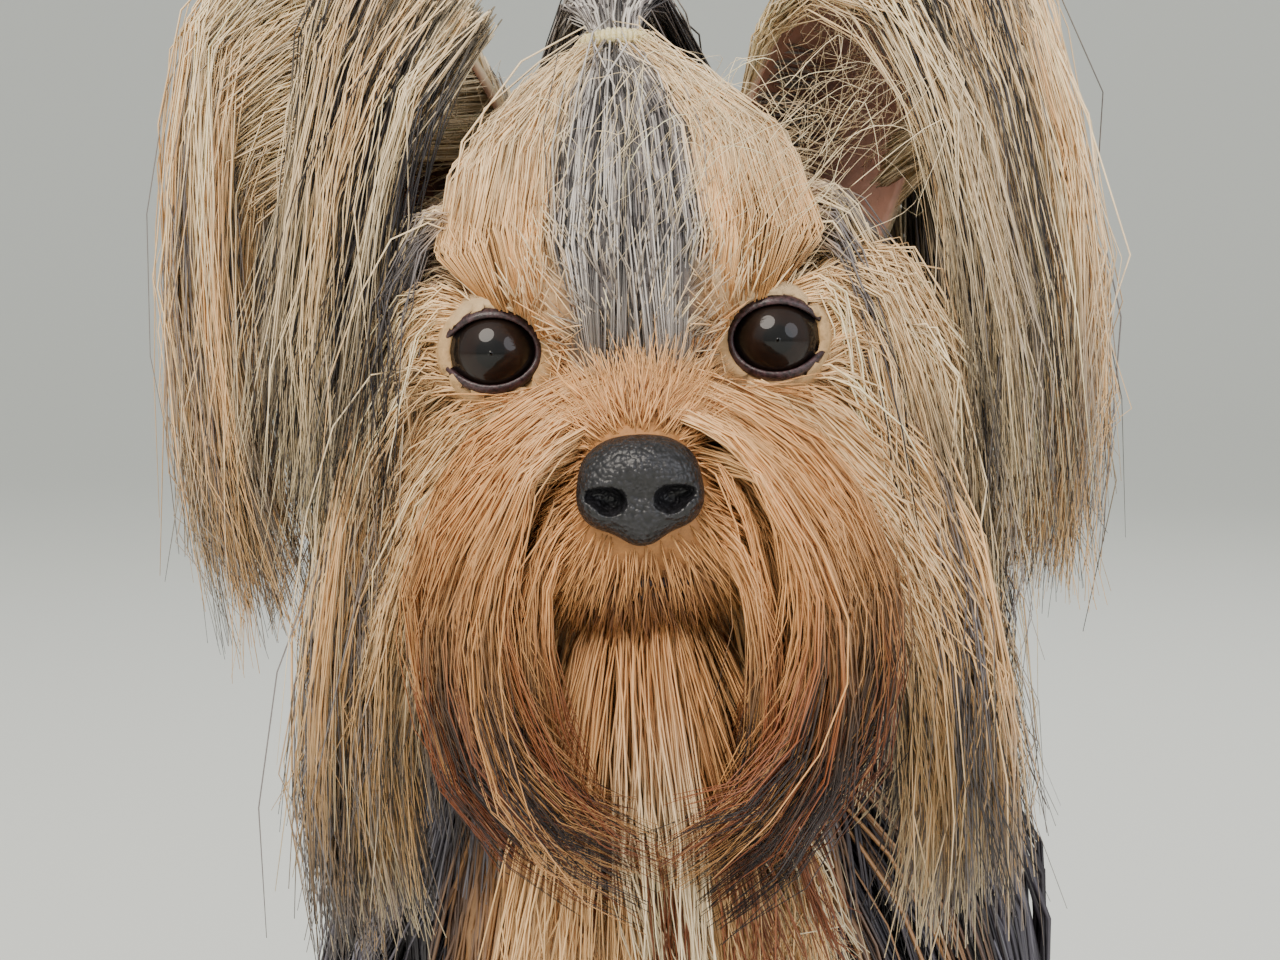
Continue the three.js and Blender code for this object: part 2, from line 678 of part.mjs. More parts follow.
const topknotLocks = locks({
  count: 6, seed: 101, width: 11, thick: 3, under: grown(head, 3),
  line: (share, vary) => {
    const a = share * 2 - 1;
    return new THREE.CatmullRomCurve3(
      at([
        [BAND_AT[0] + a * 1.5, BAND_AT[1] + 1, BAND_AT[2] + 2],
        [BAND_AT[0] + a * 5, BAND_AT[1] + 9, BAND_AT[2] + 10 - 2 * a * a],
        [a * 13, 52, 54 - 6 * a * a + vary()],
        [a * 20, 72, 34 + 2 * vary()],
        [a * (22 + 2 * vary()), 83, 2 + 6 * vary()],
      ]),
      false,
      "centripetal",
    ).getSpacedPoints(LONG);
  },
});

const neckLocks = [0, 1].flatMap((tier) =>
  locks({
    count: 4, seed: 111 + tier, width: 27, thick: 3, under: neckCore,
    line: (share, vary) => {
      const turn = radians(lerp(-150, 150, share)) + 0.05 * vary();
      const middle = v(0, -34, 222).lerp(v(2, -44, 246), tier);
      const root = middle.clone().add(v(30 * Math.sin(turn), 30 * Math.cos(turn), 4 * Math.cos(turn)));
      return fallingLine({
        root, lie: v(Math.sin(turn) * 0.4, 0.1, -1), length: 34 + 6 * vary(), pull: 0.2,
        lift: 1.2 + 1.6 * tier, under: neckCore, sink: 4,
      });
    },
  }),
);

// The long coat, parted along the spine, in three tiers down each side
const TIERS = [
  { count: 5, width: 33, x: 40, z: WITHERS - 62, length: 80, lift: 0.7, from: -46, to: 146 },
  { count: 6, width: 29, x: 34, z: WITHERS - 30, length: 108, lift: 3.9, from: -36, to: 136 },
  { count: 7, width: 25, x: 4.5, z: WITHERS - 2, length: 124, lift: 7.2, from: -18, to: 140 },
];
const flankLocks = (s) =>
  TIERS.flatMap((tier, n) =>
    locks({
      ...tier, seed: 121 + 10 * n + s, thick: 2.8, under: flankUnder,
      line: (share, vary) => {
        const y = lerp(tier.from, tier.to, (share * (tier.count - 1) + (n % 2) * 0.5) / (tier.count - 0.5));
        const rump = Math.max(0, (y - 110) / 40);
        return fallingLine({
          root: v(s * tier.x, y + vary(), tier.z - 6 * rump),
          lie: v(s * (n === 2 ? 1 : 0.5), 0.12 + 0.7 * rump, n === 2 ? 0.1 : -1),
          length: tier.length * (1 - 0.16 * rump) + 6 * vary(), pull: n === 2 ? 0.7 : 0.9,
          lift: tier.lift, under: flankUnder, sink: 4.5, bend: v(0, 0.06 * vary(), 0), rings: n ? LONG : SHORT,
        });
      },
    }),
  );
const rumpLocks = (s) =>
  locks({
    count: 3, seed: 141 + s, width: 24, thick: 3.4, under: flankUnder,
    line: (share, vary) =>
      fallingLine({
        root: v(s * (8 + 26 * share), 158 - 10 * share, 172 - 6 * share),
        lie: v(s * 0.15, 0.5, -1), length: 92 + 5 * vary(), pull: 0.8, lift: 5.4, under: flankUnder, sink: 4.5,
      }),
  });
const chestLocks = (s) =>
  [0, 1].flatMap((tier) =>
    locks({
      count: 3, seed: 151 + tier * 4 + s, width: 15, thick: 2.8, under: flankUnder,
      line: (share, vary) => {
        const turn = radians(lerp(14, 70, share));
        return fallingLine({
          root: v(s * 36 * Math.sin(turn), -8 - 58 * Math.cos(turn), tier ? 176 : 148),
          lie: v(s * 0.12 * Math.sin(turn), -0.25, -1), length: (tier ? 74 : 66) + 5 * vary(), pull: 0.5,
          lift: 0.8 + 3.2 * tier, under: flankUnder, sink: 4.5,
        });
      },
    }),
  );

// Each level of a leg's fringe is its height, its middle, the spread of its locks and their length
const legLocks = (limb, x, levels, seed) =>
  levels.flatMap(([z, y, spread, length], tier) =>
    locks({
      count: 3, seed: seed + tier, width: spread * 1.5, thick: 2.6, under: limb,
      line: (share, vary) => {
        const turn = share * 2 * Math.PI * 0.8 + tier * 0.6 + 0.1 * vary();
        return fallingLine({
          root: v(x + 9 * Math.sin(turn), y + 9 * Math.cos(turn), z),
          lie: v(0.3 * Math.sin(turn), 0.3 * Math.cos(turn), -1), length: length + 3 * vary(), pull: 0.3,
          lift: 0.8 + tier, under: limb, sink: 3,
        });
      },
    }),
  );
const forelegLocks = (s) =>
  legLocks(grown(foreleg(s), 2), s * FORELEG_X, [[46, -28, 9.5, 28], [76, -22, 10.5, 34]], 171 + s);
const hindlegLocks = (s) =>
  legLocks(grown(hindleg(s), 2), s * HINDLEG_X, [[48, 146, 9.5, 28], [78, 126, 12, 36]], 191 + s);

const tailLocks = [1, -1].flatMap((s) =>
  locks({
    count: 4, seed: 211 + s, width: 14, thick: 2.6, under: grown(tail, 1),
    line: (share, vary) => {
      const along = new THREE.CatmullRomCurve3(TAIL_LINE.map((p) => v(...p))).getPoint(0.3 + 0.68 * share);
      return fallingLine({
        root: along.clone().add(v(s * 6, 0, 1)), lie: v(s * 0.9, 0.5 + 0.5 * share, 0),
        length: 56 - 14 * share + 5 * vary(), pull: 0.62, lift: 0.8, under: grown(tail, 1), sink: 2.5,
      });
    },
  }),
);

// Every part in the order that it is fitted: each is cut clear of all before it

const TAN = 0xc98f57, GOLD = 0xd9b27c, STEEL = 0x4d4a50, SILVER = 0x9a928c;
const BLACK = 0x1b1a1d, DARK_EYE = 0x22150f, CREAM = 0xe6d9a0;
const built = [];
function fit(name, colour, roughness, ...pieces) {
  let solid = join(pieces.map((piece) => piece(0)));
  for (const other of built)
    if (solid.intersect(other.room).volume() > 1e-6) solid = solid.subtract(other.room);
  solid = largest(solid.asOriginal().simplify(0.05));
  for (const other of built)
    if (solid.intersect(other.solid).volume() > 1e-4) solid = largest(solid.subtract(other.room));
  const clearance = join(pieces.map((piece) => piece(GAP + 0.06))).asOriginal().simplify(0.05);
  const room = join([solid, clearance]);
  built.push({ name, colour, roughness, solid, room });
}

const SIDES = [["left", 1], ["right", -1]];
const half = (pieces, s) => (grow) => {
  const edge = 0.15 - SEAM * grow;
  const side = boxBody([s > 0 ? edge : -400, -400, -10], [s > 0 ? 400 : -edge, 400, 400]);
  return join(pieces.map((piece) => piece(grow))).intersect(side);
};
const torsoBody = (grow) => castSkin(grown(torsoCore, grow), v(0, -8, 152), v(0, 118, 156), 4);
const neckBody = (grow) => castSkin(grown(neckCore, grow), v(0, -18, WITHERS - 32), nape, 3);
const LEGS = SIDES.flatMap(([side, s]) => [
  [
    `foreleg_${side}`, s * FORELEG_X, -40,
    [limbSkin(grown(foreleg(s), 2), forelegLine(s), 6, 7), ...forelegLocks(s)],
  ],
  [
    `hindleg_${side}`, s * (HINDLEG_X - 1), 133,
    [limbSkin(grown(hindleg(s), 2), hindlegLine(s), 7, 7), ...hindlegLocks(s)],
  ],
]);

const eyeball = (s) => (grow) => ballBody(eyeAt(s), EYE_R + grow, 12, 8, [1, 1, 1]);
for (const [side, s] of SIDES) fit(`eye_${side}`, DARK_EYE, 0.08, eyeball(s));
fit("nose", BLACK, 0.42, nose);
fit("hair_band", CREAM, 0.6, hairBand);
fit("head", GOLD, 0.75, cranium, ...foreheadLocks);
fit("jaw", GOLD, 0.75, jaw, lip(MOUTH_Z - 1.4, -80, 80), ...beardLocks);
for (const [side, s] of SIDES)
  fit(`muzzle_${side}`, TAN, 0.75, muzzle(s), lip(MOUTH_Z + 1.5, s * 8, s * 84), ...moustacheLocks(s));
for (const [side, s] of SIDES) fit(`cheek_${side}`, GOLD, 0.75, cheek(s), ...cheekLocks(s));
for (const [side, s] of SIDES) fit(`ear_${side}`, GOLD, 0.75, ear(s), ...earLocks(s));
fit("topknot", SILVER, 0.7, stem, ...topknotLocks);
for (const [side, s] of SIDES)
  fit(`torso_${side}`, STEEL, 0.7, half([torsoBody, ...flankLocks(s), ...rumpLocks(s), ...chestLocks(s)], s));
fit("neck", STEEL, 0.7, neckBody, ...neckLocks);
for (const [leg, x, y] of LEGS) fit(leg.replace("leg", "paw"), TAN, 0.8, paw(x, y));
for (const [leg, , , pieces] of LEGS) fit(leg, TAN, 0.8, ...pieces);
for (const [leg, x, y] of LEGS)
  TOES.forEach((i, k) => fit(`${leg.replace("leg", "claw")}_${k + 1}`, BLACK, 0.4, claw(x, y, i)));
fit("tail", STEEL, 0.7, limbSkin(grown(tail, 1), TAIL_LINE, 4, 7), ...tailLocks);

const dog = new THREE.Group();
dog.name = "yorkshire_terrier";
for (const { name, colour, roughness, solid } of built) {
  const finish = new THREE.MeshStandardMaterial({ color: colour, roughness, metalness: 0 });
  const mesh = new THREE.Mesh(geometryOf(solid), finish);
  mesh.name = name;
  dog.add(mesh);
}

// The origin is on the floor under the middle of the whole dog
const box = new THREE.Box3().setFromObject(dog), middle = box.getCenter(v(0, 0, 0));
dog.position.set(-Number(middle.x.toFixed(2)), -Number(middle.y.toFixed(2)), 0);

export default dog;
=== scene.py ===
"""A Yorkshire terrier at life size: long coat, topknot held in a band, and head turned a little."""

import math
from functools import partial

import bpy
import numpy as np
from mathutils import Matrix, Vector


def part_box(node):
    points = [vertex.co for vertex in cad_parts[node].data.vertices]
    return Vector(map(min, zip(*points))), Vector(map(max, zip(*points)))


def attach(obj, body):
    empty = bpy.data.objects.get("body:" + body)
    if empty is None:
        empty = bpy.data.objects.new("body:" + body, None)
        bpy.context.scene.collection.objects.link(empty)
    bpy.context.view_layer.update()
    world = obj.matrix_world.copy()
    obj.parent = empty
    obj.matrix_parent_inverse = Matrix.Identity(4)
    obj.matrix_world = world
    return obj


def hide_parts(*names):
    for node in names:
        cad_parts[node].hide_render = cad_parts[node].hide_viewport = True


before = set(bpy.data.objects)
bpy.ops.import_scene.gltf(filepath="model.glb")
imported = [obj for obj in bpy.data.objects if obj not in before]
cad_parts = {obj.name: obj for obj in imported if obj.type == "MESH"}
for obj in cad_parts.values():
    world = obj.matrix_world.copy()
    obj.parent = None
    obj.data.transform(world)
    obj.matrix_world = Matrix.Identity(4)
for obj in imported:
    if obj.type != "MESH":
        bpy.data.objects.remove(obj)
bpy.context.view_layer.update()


# Where the dog stands: shapes are laid out in millimetres, in the dog's own frame, with the head in a
# frame of its own between the eyes. The place of one eyeball says how far that is from the row's frame.
HEAD_AT = np.array([14.0, -104.0, 270.0])
YAW, PITCH, ROLL = 11.0, 2.0, -2.7
HEAD_TURN = np.array(
    Matrix.Rotation(math.radians(YAW), 3, "Z")
    @ Matrix.Rotation(math.radians(PITCH), 3, "X")
    @ Matrix.Rotation(math.radians(ROLL), 3, "Y")
)
EYE = np.array([24.0, 4.6, 0.0])
SIDES = (("left", 1), ("right", -1))


def on_head(points):
    return np.asarray(points, float) @ HEAD_TURN.T + HEAD_AT


def to_head(points):
    return (np.asarray(points, float) - HEAD_AT) @ HEAD_TURN


eye_low, eye_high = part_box("eye_left")
SHIFT = np.array((eye_low + eye_high) / 2) * 1000 - on_head(EYE)
SHIFT[2] = 0.0


def in_metres(points):
    return (np.asarray(points, float) + SHIFT) / 1000


# The camera: at the height of the dog's face and close, as for a portrait, with the nose in the middle.
# It is aimed a little above the nose, from the side that the head is turned to.
NOSE = np.array([0.0, -38.0, -20.0])
CAMERA_AZIMUTH, CAMERA_ELEVATION, CAMERA_AWAY, AIM_HIGHER = 11.0, 5.0, 620.0, 1.6
camera = bpy.data.objects.new("camera", bpy.data.cameras.new("camera"))
bpy.context.scene.collection.objects.link(camera)
bpy.context.scene.camera = camera
azimuth, elevation = math.radians(CAMERA_AZIMUTH), math.radians(CAMERA_ELEVATION)
level = np.array([math.sin(azimuth), -math.cos(azimuth), 0]) * math.cos(elevation)
camera_back = level + [0, 0, math.sin(elevation)]
aim = on_head(NOSE) + [0, 0, AIM_HIGHER]
camera.location = Vector(in_metres(aim + camera_back * CAMERA_AWAY))
camera.rotation_mode = "QUATERNION"
camera.rotation_quaternion = Vector(-camera_back).to_track_quat("-Z", "Y")
camera.data.sensor_width = 36
camera.data.lens = 108
camera.data.clip_start = 0.01
camera.data.clip_end = 100


# The flesh under the coat, as distance functions: negative inside and positive outside.
# The same build as the solids, without the depth of the coat that the solids add on the body.
def egg(x, y, z, rx, ry, rz):
    centre, radii = np.array([x, y, z]), np.array([rx, ry, rz])

    def distance(p):
        q = (p - centre) / radii
        k = np.sqrt((q * q).sum(-1))
        return k * (k - 1) / np.maximum(1e-6, np.sqrt(((q / radii) ** 2).sum(-1)))

    return distance


def eggs(x, *rest):
    """The same egg on the left and on the right."""
    return egg(x, *rest), egg(-x, *rest)


def taper(start, end, r0, r1):
    start, way = np.array(start, float), np.array(end, float) - np.array(start, float)

    def distance(p):
        q = p - start
        t = np.clip(q @ way / (way @ way), 0, 1)
        return np.linalg.norm(q - t[..., None] * way, axis=-1) - (r0 + (r1 - r0) * t)

    return distance


def soft_min(d, e, soft):
    h = np.maximum(0, soft - np.abs(d - e)) / soft
    return np.minimum(d, e) - h * h * soft / 4


def blend(soft, *shapes):
    def distance(p):
        d = shapes[0](p)
        for shape in shapes[1:]:
            d = soft_min(d, shape(p), soft)
        return d

    return distance


def jointed(points, radii):
    """Tapers from each point to the next, with the radii at the start and the end of each."""
    return [taper(*ends, *size) for *ends, size in zip(points, points[1:], radii)]


head_shape = blend(
    7,
    egg(0, 36, 13, 31, 38, 28),
    egg(0, 6, 9, 21, 15, 15),
    *eggs(21.5, 12, 0, 14, 16, 12.5),
    *eggs(20, 27, -11, 15, 24, 18),
    taper([0, 4, -17], [0, -25, -22], 16.5, 12),
    taper([0, -2, -9], [0, -31, -14.5], 8, 7),
    *eggs(6.5, -22, -29, 9, 13, 9),
    taper([0, 22, -33], [0, -19, -37], 12, 8),
)
torso_shape = blend(
    22,
    egg(0, -8, 150, 42, 56, 50),
    egg(0, 72, 158, 36, 70, 38),
    egg(0, 122, 155, 38, 42, 42),
)
NAPE = on_head([0, 50, -8])
neck_shape = taper([0, -18, 168], NAPE, 35, 24)
legs = []
for side in (1, -1):
    foreleg = [[side * 30, -20, 126], [side * 32, -16, 100], [side * 32, -30, 38], [side * 32, -34, 12]]
    hindleg = [[side * 30, 124, 140], [side * 34, 102, 100], [side * 33, 146, 54], [side * 33, 138, 12]]
    legs += jointed(foreleg, [(15, 12), (11.5, 8.5), (8.5, 9)])
    legs += jointed(hindleg, [(24, 16), (15, 8), (8, 8.5)])
leg_shape = blend(8, *legs)
PAWS = [(32, -40), (-32, -40), (33, 133), (-33, 133)]
TOES, TOE_GAP = (-1.5, -0.5, 0.5, 1.5), 5.4


def toe_line(paw_y, toe):
    """How far forward a toe stands: the middle ones stand ahead of the outer ones."""
    return paw_y - 11.16 + 2.6 * abs(toe)


feet = []
for x, y in PAWS:
    feet.append(egg(x, y + 3, 9, 11, 14, 10.5))
    feet += [egg(x + TOE_GAP * toe, toe_line(y, toe), 5.6, 4.1, 7.6, 6.4) for toe in TOES]
foot_shape = blend(2.5, *feet)
TAIL_LINE = [[0, 152, 184], [0, 172, 200], [0, 194, 208], [0, 216, 205]]
tail_shape = blend(5, *jointed(TAIL_LINE, [(10, 8.4), (8.4, 6.8), (6.8, 5.2)]))


def flesh(p):
    """The distance to the whole skin; a part is only worked out where it can count."""
    shape = p.shape[:-1]
    p = p.reshape(-1, 3)
    d = soft_min(torso_shape(p), neck_shape(p), 14)
    for part, near, soft in (
        (lambda q: head_shape(to_head(q)), (p[:, 2] > 185) & (p[:, 1] < 10), 9),
        (leg_shape, p[:, 2] < 190, 9),
        (foot_shape, p[:, 2] < 34, 3),
        (tail_shape, p[:, 1] > 125, 6),
    ):
        d[near] = soft_min(d[near], part(p[near]), soft)
    soles = 0.4
    return np.maximum(d, soles - p[:, 2]).reshape(shape)


CELL = 2.0
GRID_LOW = np.array([-112.0, -190.0, -6.0])


def grid_of(low, cell, counts):
    return np.stack(
        np.meshgrid(*[low[k] + cell * np.arange(n) for k, n in enumerate(counts)], indexing="ij"), -1
    )


grid = grid_of(GRID_LOW, CELL, (113, 221, 187))
distances = flesh(grid).astype(np.float32)
field = np.stack([distances, *np.gradient(distances, CELL)], -1)


def skin_near(points):
    """The distance from the skin and the way out of it, read from the grid."""
    q = np.clip((points - GRID_LOW) / CELL, 0, np.array(distances.shape) - 1.001)
    base = q.astype(int)
    f = q - base
    total = 0
    for corner in np.ndindex(2, 2, 2):
        i, j, k = np.moveaxis(base + corner, -1, 0)
        weight = np.where(corner, f, 1 - f).prod(-1)
        total = total + weight[..., None] * field[i, j, k]
    out = total[..., 1:]
    return total[..., 0], out / np.maximum(1e-6, np.linalg.norm(out, axis=-1, keepdims=True))


# The markings: tan on the head, chest and legs, dark steel from the back of the head to the tail,
# and a silver streak from between the eyes to the band. Skin and coat take their colours from them.
def to_linear(code):
    parts = np.array([int(code[i : i + 2], 16) for i in (0, 2, 4)]) / 255
    return np.where(parts <= 0.04045, parts / 12.92, ((parts + 0.055) / 1.055) ** 2.4)


def ramp(x, low, high):
    t = np.clip((x - low) / (high - low), 0, 1)
    return t * t * (3 - 2 * t)


def mixed(a, b, share):
    return a + (b - a) * np.asarray(share, float)[..., None]


GOLD, CREAM, TAN, ORANGE = map(to_linear, ("e8bc84", "f6e0b8", "d29a60", "cb8c50"))
RUST, LIGHT_ORANGE, BLACK_BROWN = map(to_linear, ("7c4220", "d8a066", "261b1a"))
STEEL, PALE_STEEL, CHARCOAL = map(to_linear, ("48434b", "8d8892", "2a2629"))
SILVER, GREY = map(to_linear, ("c2bcb6", "7d7675"))
PINK_SKIN, CUP_SHADE_BROWN = map(to_linear, ("b08371", "5d3a30"))


def markings(points):
    x, y, z = np.moveaxis(points, -1, 0)
    head_x, head_y, head_z = np.moveaxis(to_head(points), -1, 0)
    chest = (1 - ramp(y, -50, -34)) * (1 - ramp(z, 196, 222)) * (1 - ramp(np.abs(x - 6), 20, 32))
    body = mixed(STEEL, TAN, np.maximum(1 - ramp(z, 96, 124), 0.9 * chest))
    face = mixed(GOLD, ORANGE, 1 - ramp(head_y, -14, 2))
    face = mixed(face, CREAM, 0.75 * (ramp(head_z, 0, 16) * ramp(head_y, -14, -2)))
    face = mixed(face, GREY, (1 - ramp(np.abs(head_x - 0.5), 8, 13)) * ramp(head_z, -10, -2))
    face = mixed(face, STEEL, ramp(head_y, 34, 50))
    is_head = ramp(head_z, -90, -60) * (1 - ramp(head_y, 46, 66)) * ramp(z, 196, 222)
    return mixed(body, face, is_head)


# The skin: one closed surface over the flesh of head, body, legs and tail, which the coat grows from.
# It has the colours of the coat above it, and it is hollow where the eyes sit.
def surface_net(values, low, cell, shape):
    """A quad mesh over the zero level of a grid of distances, drawn onto the real surface."""
    inside = values < 0
    nx, ny, nz = np.array(values.shape) - 1
    corners = np.stack([inside[i : nx + i, j : ny + j, k : nz + k] for i, j, k in np.ndindex(2, 2, 2)])
    crossed = corners.any(0) & ~corners.all(0)
    index = np.full(crossed.shape, -1)
    index[crossed] = np.arange(crossed.sum())
    points = low + (np.argwhere(crossed) + 0.5) * cell
    faces = []
    for axis in range(3):
        a, cells = np.moveaxis(inside, axis, 0), np.moveaxis(index, axis, 0)
        change = (a[1:] != a[:-1])[:, 1:-1, 1:-1]
        around = (cells[:, :-1, :-1], cells[:, 1:, :-1], cells[:, 1:, 1:], cells[:, :-1, 1:])
        quads = np.stack([c[change] for c in around], 1)
        turn = a[:-1][:, 1:-1, 1:-1][change] == (axis == 1)
        quads[turn] = quads[turn][:, ::-1]
        faces.append(quads)
    step = 0.3
    for _ in range(4):
        d = shape(points)
        slope = np.stack(
            [shape(points + step * unit) - shape(points - step * unit) for unit in np.eye(3)], -1
        )
        slope /= np.maximum(1e-6, np.linalg.norm(slope, axis=-1, keepdims=True))
        points = points - 0.9 * np.clip(d, -cell, cell)[:, None] * slope
    return points, np.concatenate(faces)


def plug(tree, node, **inputs):
    """Links or sets the inputs of a node, by name or by a number after the word at."""
    for name, value in inputs.items():
        socket = node.inputs[int(name[2:]) if name.startswith("at") else name.replace("_", " ")]
        if isinstance(value, bpy.types.NodeSocket):
            tree.links.new(value, socket)
        else:
            socket.default_value = value


def add(tree, kind, settings=None, **inputs):
    """Adds a node with its settings and its inputs."""
    made = tree.nodes.new(kind)
    for name, value in (settings or {}).items():
        setattr(made, name, value)
    plug(tree, made, **inputs)
    return made


def new_material(name):
    """A new material, its tree and its shader."""
    made = bpy.data.materials.new(name)
    made.use_nodes = True
    return made, made.node_tree, made.node_tree.nodes["Principled BSDF"]


def colour_stops(tree, factor, *stops):
    """A colour ramp through stops of place and colour."""
    made = add(tree, "ShaderNodeValToRGB", Fac=factor)
    ends = list(made.color_ramp.elements)
    for place, code in stops:
        stop = ends.pop(0) if ends else made.color_ramp.elements.new(place)
        stop.position = place
        stop.color = (*to_linear(code), 1)
    return made.outputs["Color"]


def bump(tree, height, strength, depth, invert=False):
    relief = add(
        tree, "ShaderNodeBump", {"invert": invert}, Height=height, Strength=strength, Distance=depth
    )
    return relief.outputs["Normal"]


def mottled(name, scale, detail, *stops):
    """A material with the colours of a ramp over noise, or without stops plain; gives its noise too."""
    made, tree, shader = new_material(name)
    place = add(tree, "ShaderNodeTexCoord").outputs["Object"]
    noise = add(tree, "ShaderNodeTexNoise", Vector=place, Scale=scale, Detail=detail).outputs["Fac"]
    if stops:
        plug(tree, shader, Base_Color=colour_stops(tree, noise, *stops))
    return made, tree, shader, noise


def painted(name, scale, detail, dim, bright):
    """A material with the colours painted on its piece, which noise makes dimmer and brighter."""
    made, tree, shader, noise = mottled(name, scale, detail)
    paint = add(tree, "ShaderNodeAttribute", {"attribute_name": "marking"}).outputs["Color"]
    shade = add(tree, "ShaderNodeMapRange", Value=noise, To_Min=dim, To_Max=bright).outputs["Result"]
    multiply = {"data_type": "RGBA", "blend_type": "MULTIPLY"}
    dyed = add(tree, "ShaderNodeMix", multiply, at0=1.0, at6=paint, at7=shade)
    plug(tree, shader, Base_Color=dyed.outputs[2])
    return made, tree, shader, noise


def new_object(name, data):
    made = bpy.data.objects.new(name, data)
    bpy.context.scene.collection.objects.link(made)
    return made


def new_piece(name, points, faces, material, colours=None, uvs=None):
    """A mesh object from millimetre points in the dog's frame."""
    mesh = bpy.data.meshes.new(name)
    count, corners = faces.shape
    mesh.vertices.add(len(points))
    mesh.vertices.foreach_set("co", in_metres(points).astype(np.float32).ravel())
    mesh.loops.add(count * corners)
    mesh.loops.foreach_set("vertex_index", faces.astype(np.int32).ravel())
    mesh.polygons.add(count)
    mesh.polygons.foreach_set("loop_start", np.arange(0, count * corners, corners, dtype=np.int32))
    mesh.update(calc_edges=True)
    mesh.shade_smooth()
    if uvs is not None:
        layer = mesh.uv_layers.new(name="OFBake")
        layer.data.foreach_set("uv", uvs[faces.ravel()].astype(np.float32).ravel())
    if colours is not None:
        paint = mesh.color_attributes.new(name="marking", type="FLOAT_COLOR", domain="POINT")
        rgba = np.ones((len(points), 4), np.float32)
        rgba[:, :3] = colours
        paint.data.foreach_set("color", rgba.ravel())
    mesh.materials.append(material)
    made = new_object(name, mesh)
    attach(made, "root")
    return made


skin_finish, tree, shader, hairs = painted("skin under short hair", 900.0, 3.0, 0.55, 1.05)
plug(tree, shader, Normal=bump(tree, hairs, 0.6, 0.0006), Roughness=0.7)
LID_R = 9.3
eye_socket = egg(24, -6.0, 0.3, 8.8, 15, 7.6)


def skin_shape(p, bare=None):
    """The flesh with a low mound of lids round each eye, and a hollow for the eye in the mound."""
    h = to_head(p)
    h[..., 0] = np.abs(h[..., 0])
    bare = flesh(p) if bare is None else bare
    lids = np.linalg.norm(h - EYE, axis=-1) - LID_R
    return -soft_min(-soft_min(bare, lids, 3.0), eye_socket(h), 0.8)


skin_points, skin_faces = surface_net(skin_shape(grid, distances), GRID_LOW, CELL, skin_shape)
skin = new_piece("skin", skin_points, skin_faces, skin_finish, colours=markings(skin_points) * 0.75)
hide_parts("head", "jaw", "muzzle_left", "muzzle_right", "cheek_left", "cheek_right")
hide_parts("torso_left", "torso_right", "neck", "tail")
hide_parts("foreleg_left", "foreleg_right", "hindleg_left", "hindleg_right")
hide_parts("forepaw_left", "forepaw_right", "hindpaw_left", "hindpaw_right")


# The eyes: wet globes of a very dark brown, with a black pupil and a darker edge to the iris. The clear
# front stands a little proud of the globe, and its gloss is what catches the light.
EYE_R, CLEAR_FRONT, IRIS_SPAN = 8.2, 0.45, 8.4


def eye_frame(side):
    """The eye's centre, its right, its way of looking and its up, in the head's frame."""
    look = np.array([0.05 * side, -1, 0.03])
    look /= np.linalg.norm(look)
    right = np.cross(look, [0, 0, 1])
    right /= np.linalg.norm(right)
    return EYE * [side, 1, 1], right, look, np.cross(right, look)


def ring_faces(rows, around):
    """Quads between rows of points, each row a closed loop."""
    i, j = np.meshgrid(np.arange(rows - 1), np.arange(around), indexing="ij")
    k = (j + 1) % around
    corners = (i * around + j, i * around + k, (i + 1) * around + k, (i + 1) * around + j)
    return np.stack(corners, -1).reshape(-1, 4)


def outwards(made):
    """Turns the faces of a closed mesh outwards."""
    mesh = made.data
    area = np.zeros(len(mesh.polygons))
    mesh.polygons.foreach_get("area", area)
    centre = np.zeros(len(mesh.polygons) * 3)
    mesh.polygons.foreach_get("center", centre)
    normal = np.zeros(len(mesh.polygons) * 3)
    mesh.polygons.foreach_get("normal", normal)
    if (centre.reshape(-1, 3) * normal.reshape(-1, 3)).sum(1) @ area < 0:
        mesh.flip_normals()


eye_finish, tree, shader = new_material("wet eye, dark brown")
gaze = add(tree, "ShaderNodeAttribute", {"attribute_name": "gaze"}).outputs["Vector"]
parts = add(tree, "ShaderNodeSeparateXYZ", Vector=gaze)
rays = add(tree, "ShaderNodeTexNoise", Vector=gaze, Scale=9.0, Detail=4.0).outputs["Fac"]
times_plus = {"operation": "MULTIPLY_ADD"}
radius = add(tree, "ShaderNodeMath", times_plus, at0=rays, at1=0.08, at2=parts.outputs["Z"]).outputs[0]
pupil = ((0.30, "050404"), (0.36, "170d09"))
iris = ((0.56, "1f120c"), (0.74, "150c08"), (0.80, "060404"), (0.95, "1a1412"))
plug(tree, shader, Base_Color=colour_stops(tree, radius, *pupil, *iris), Roughness=0.5)
plug(tree, shader, Specular_IOR_Level=0.1, Coat_Weight=1.0, Coat_Roughness=0.02, Coat_IOR=1.33)

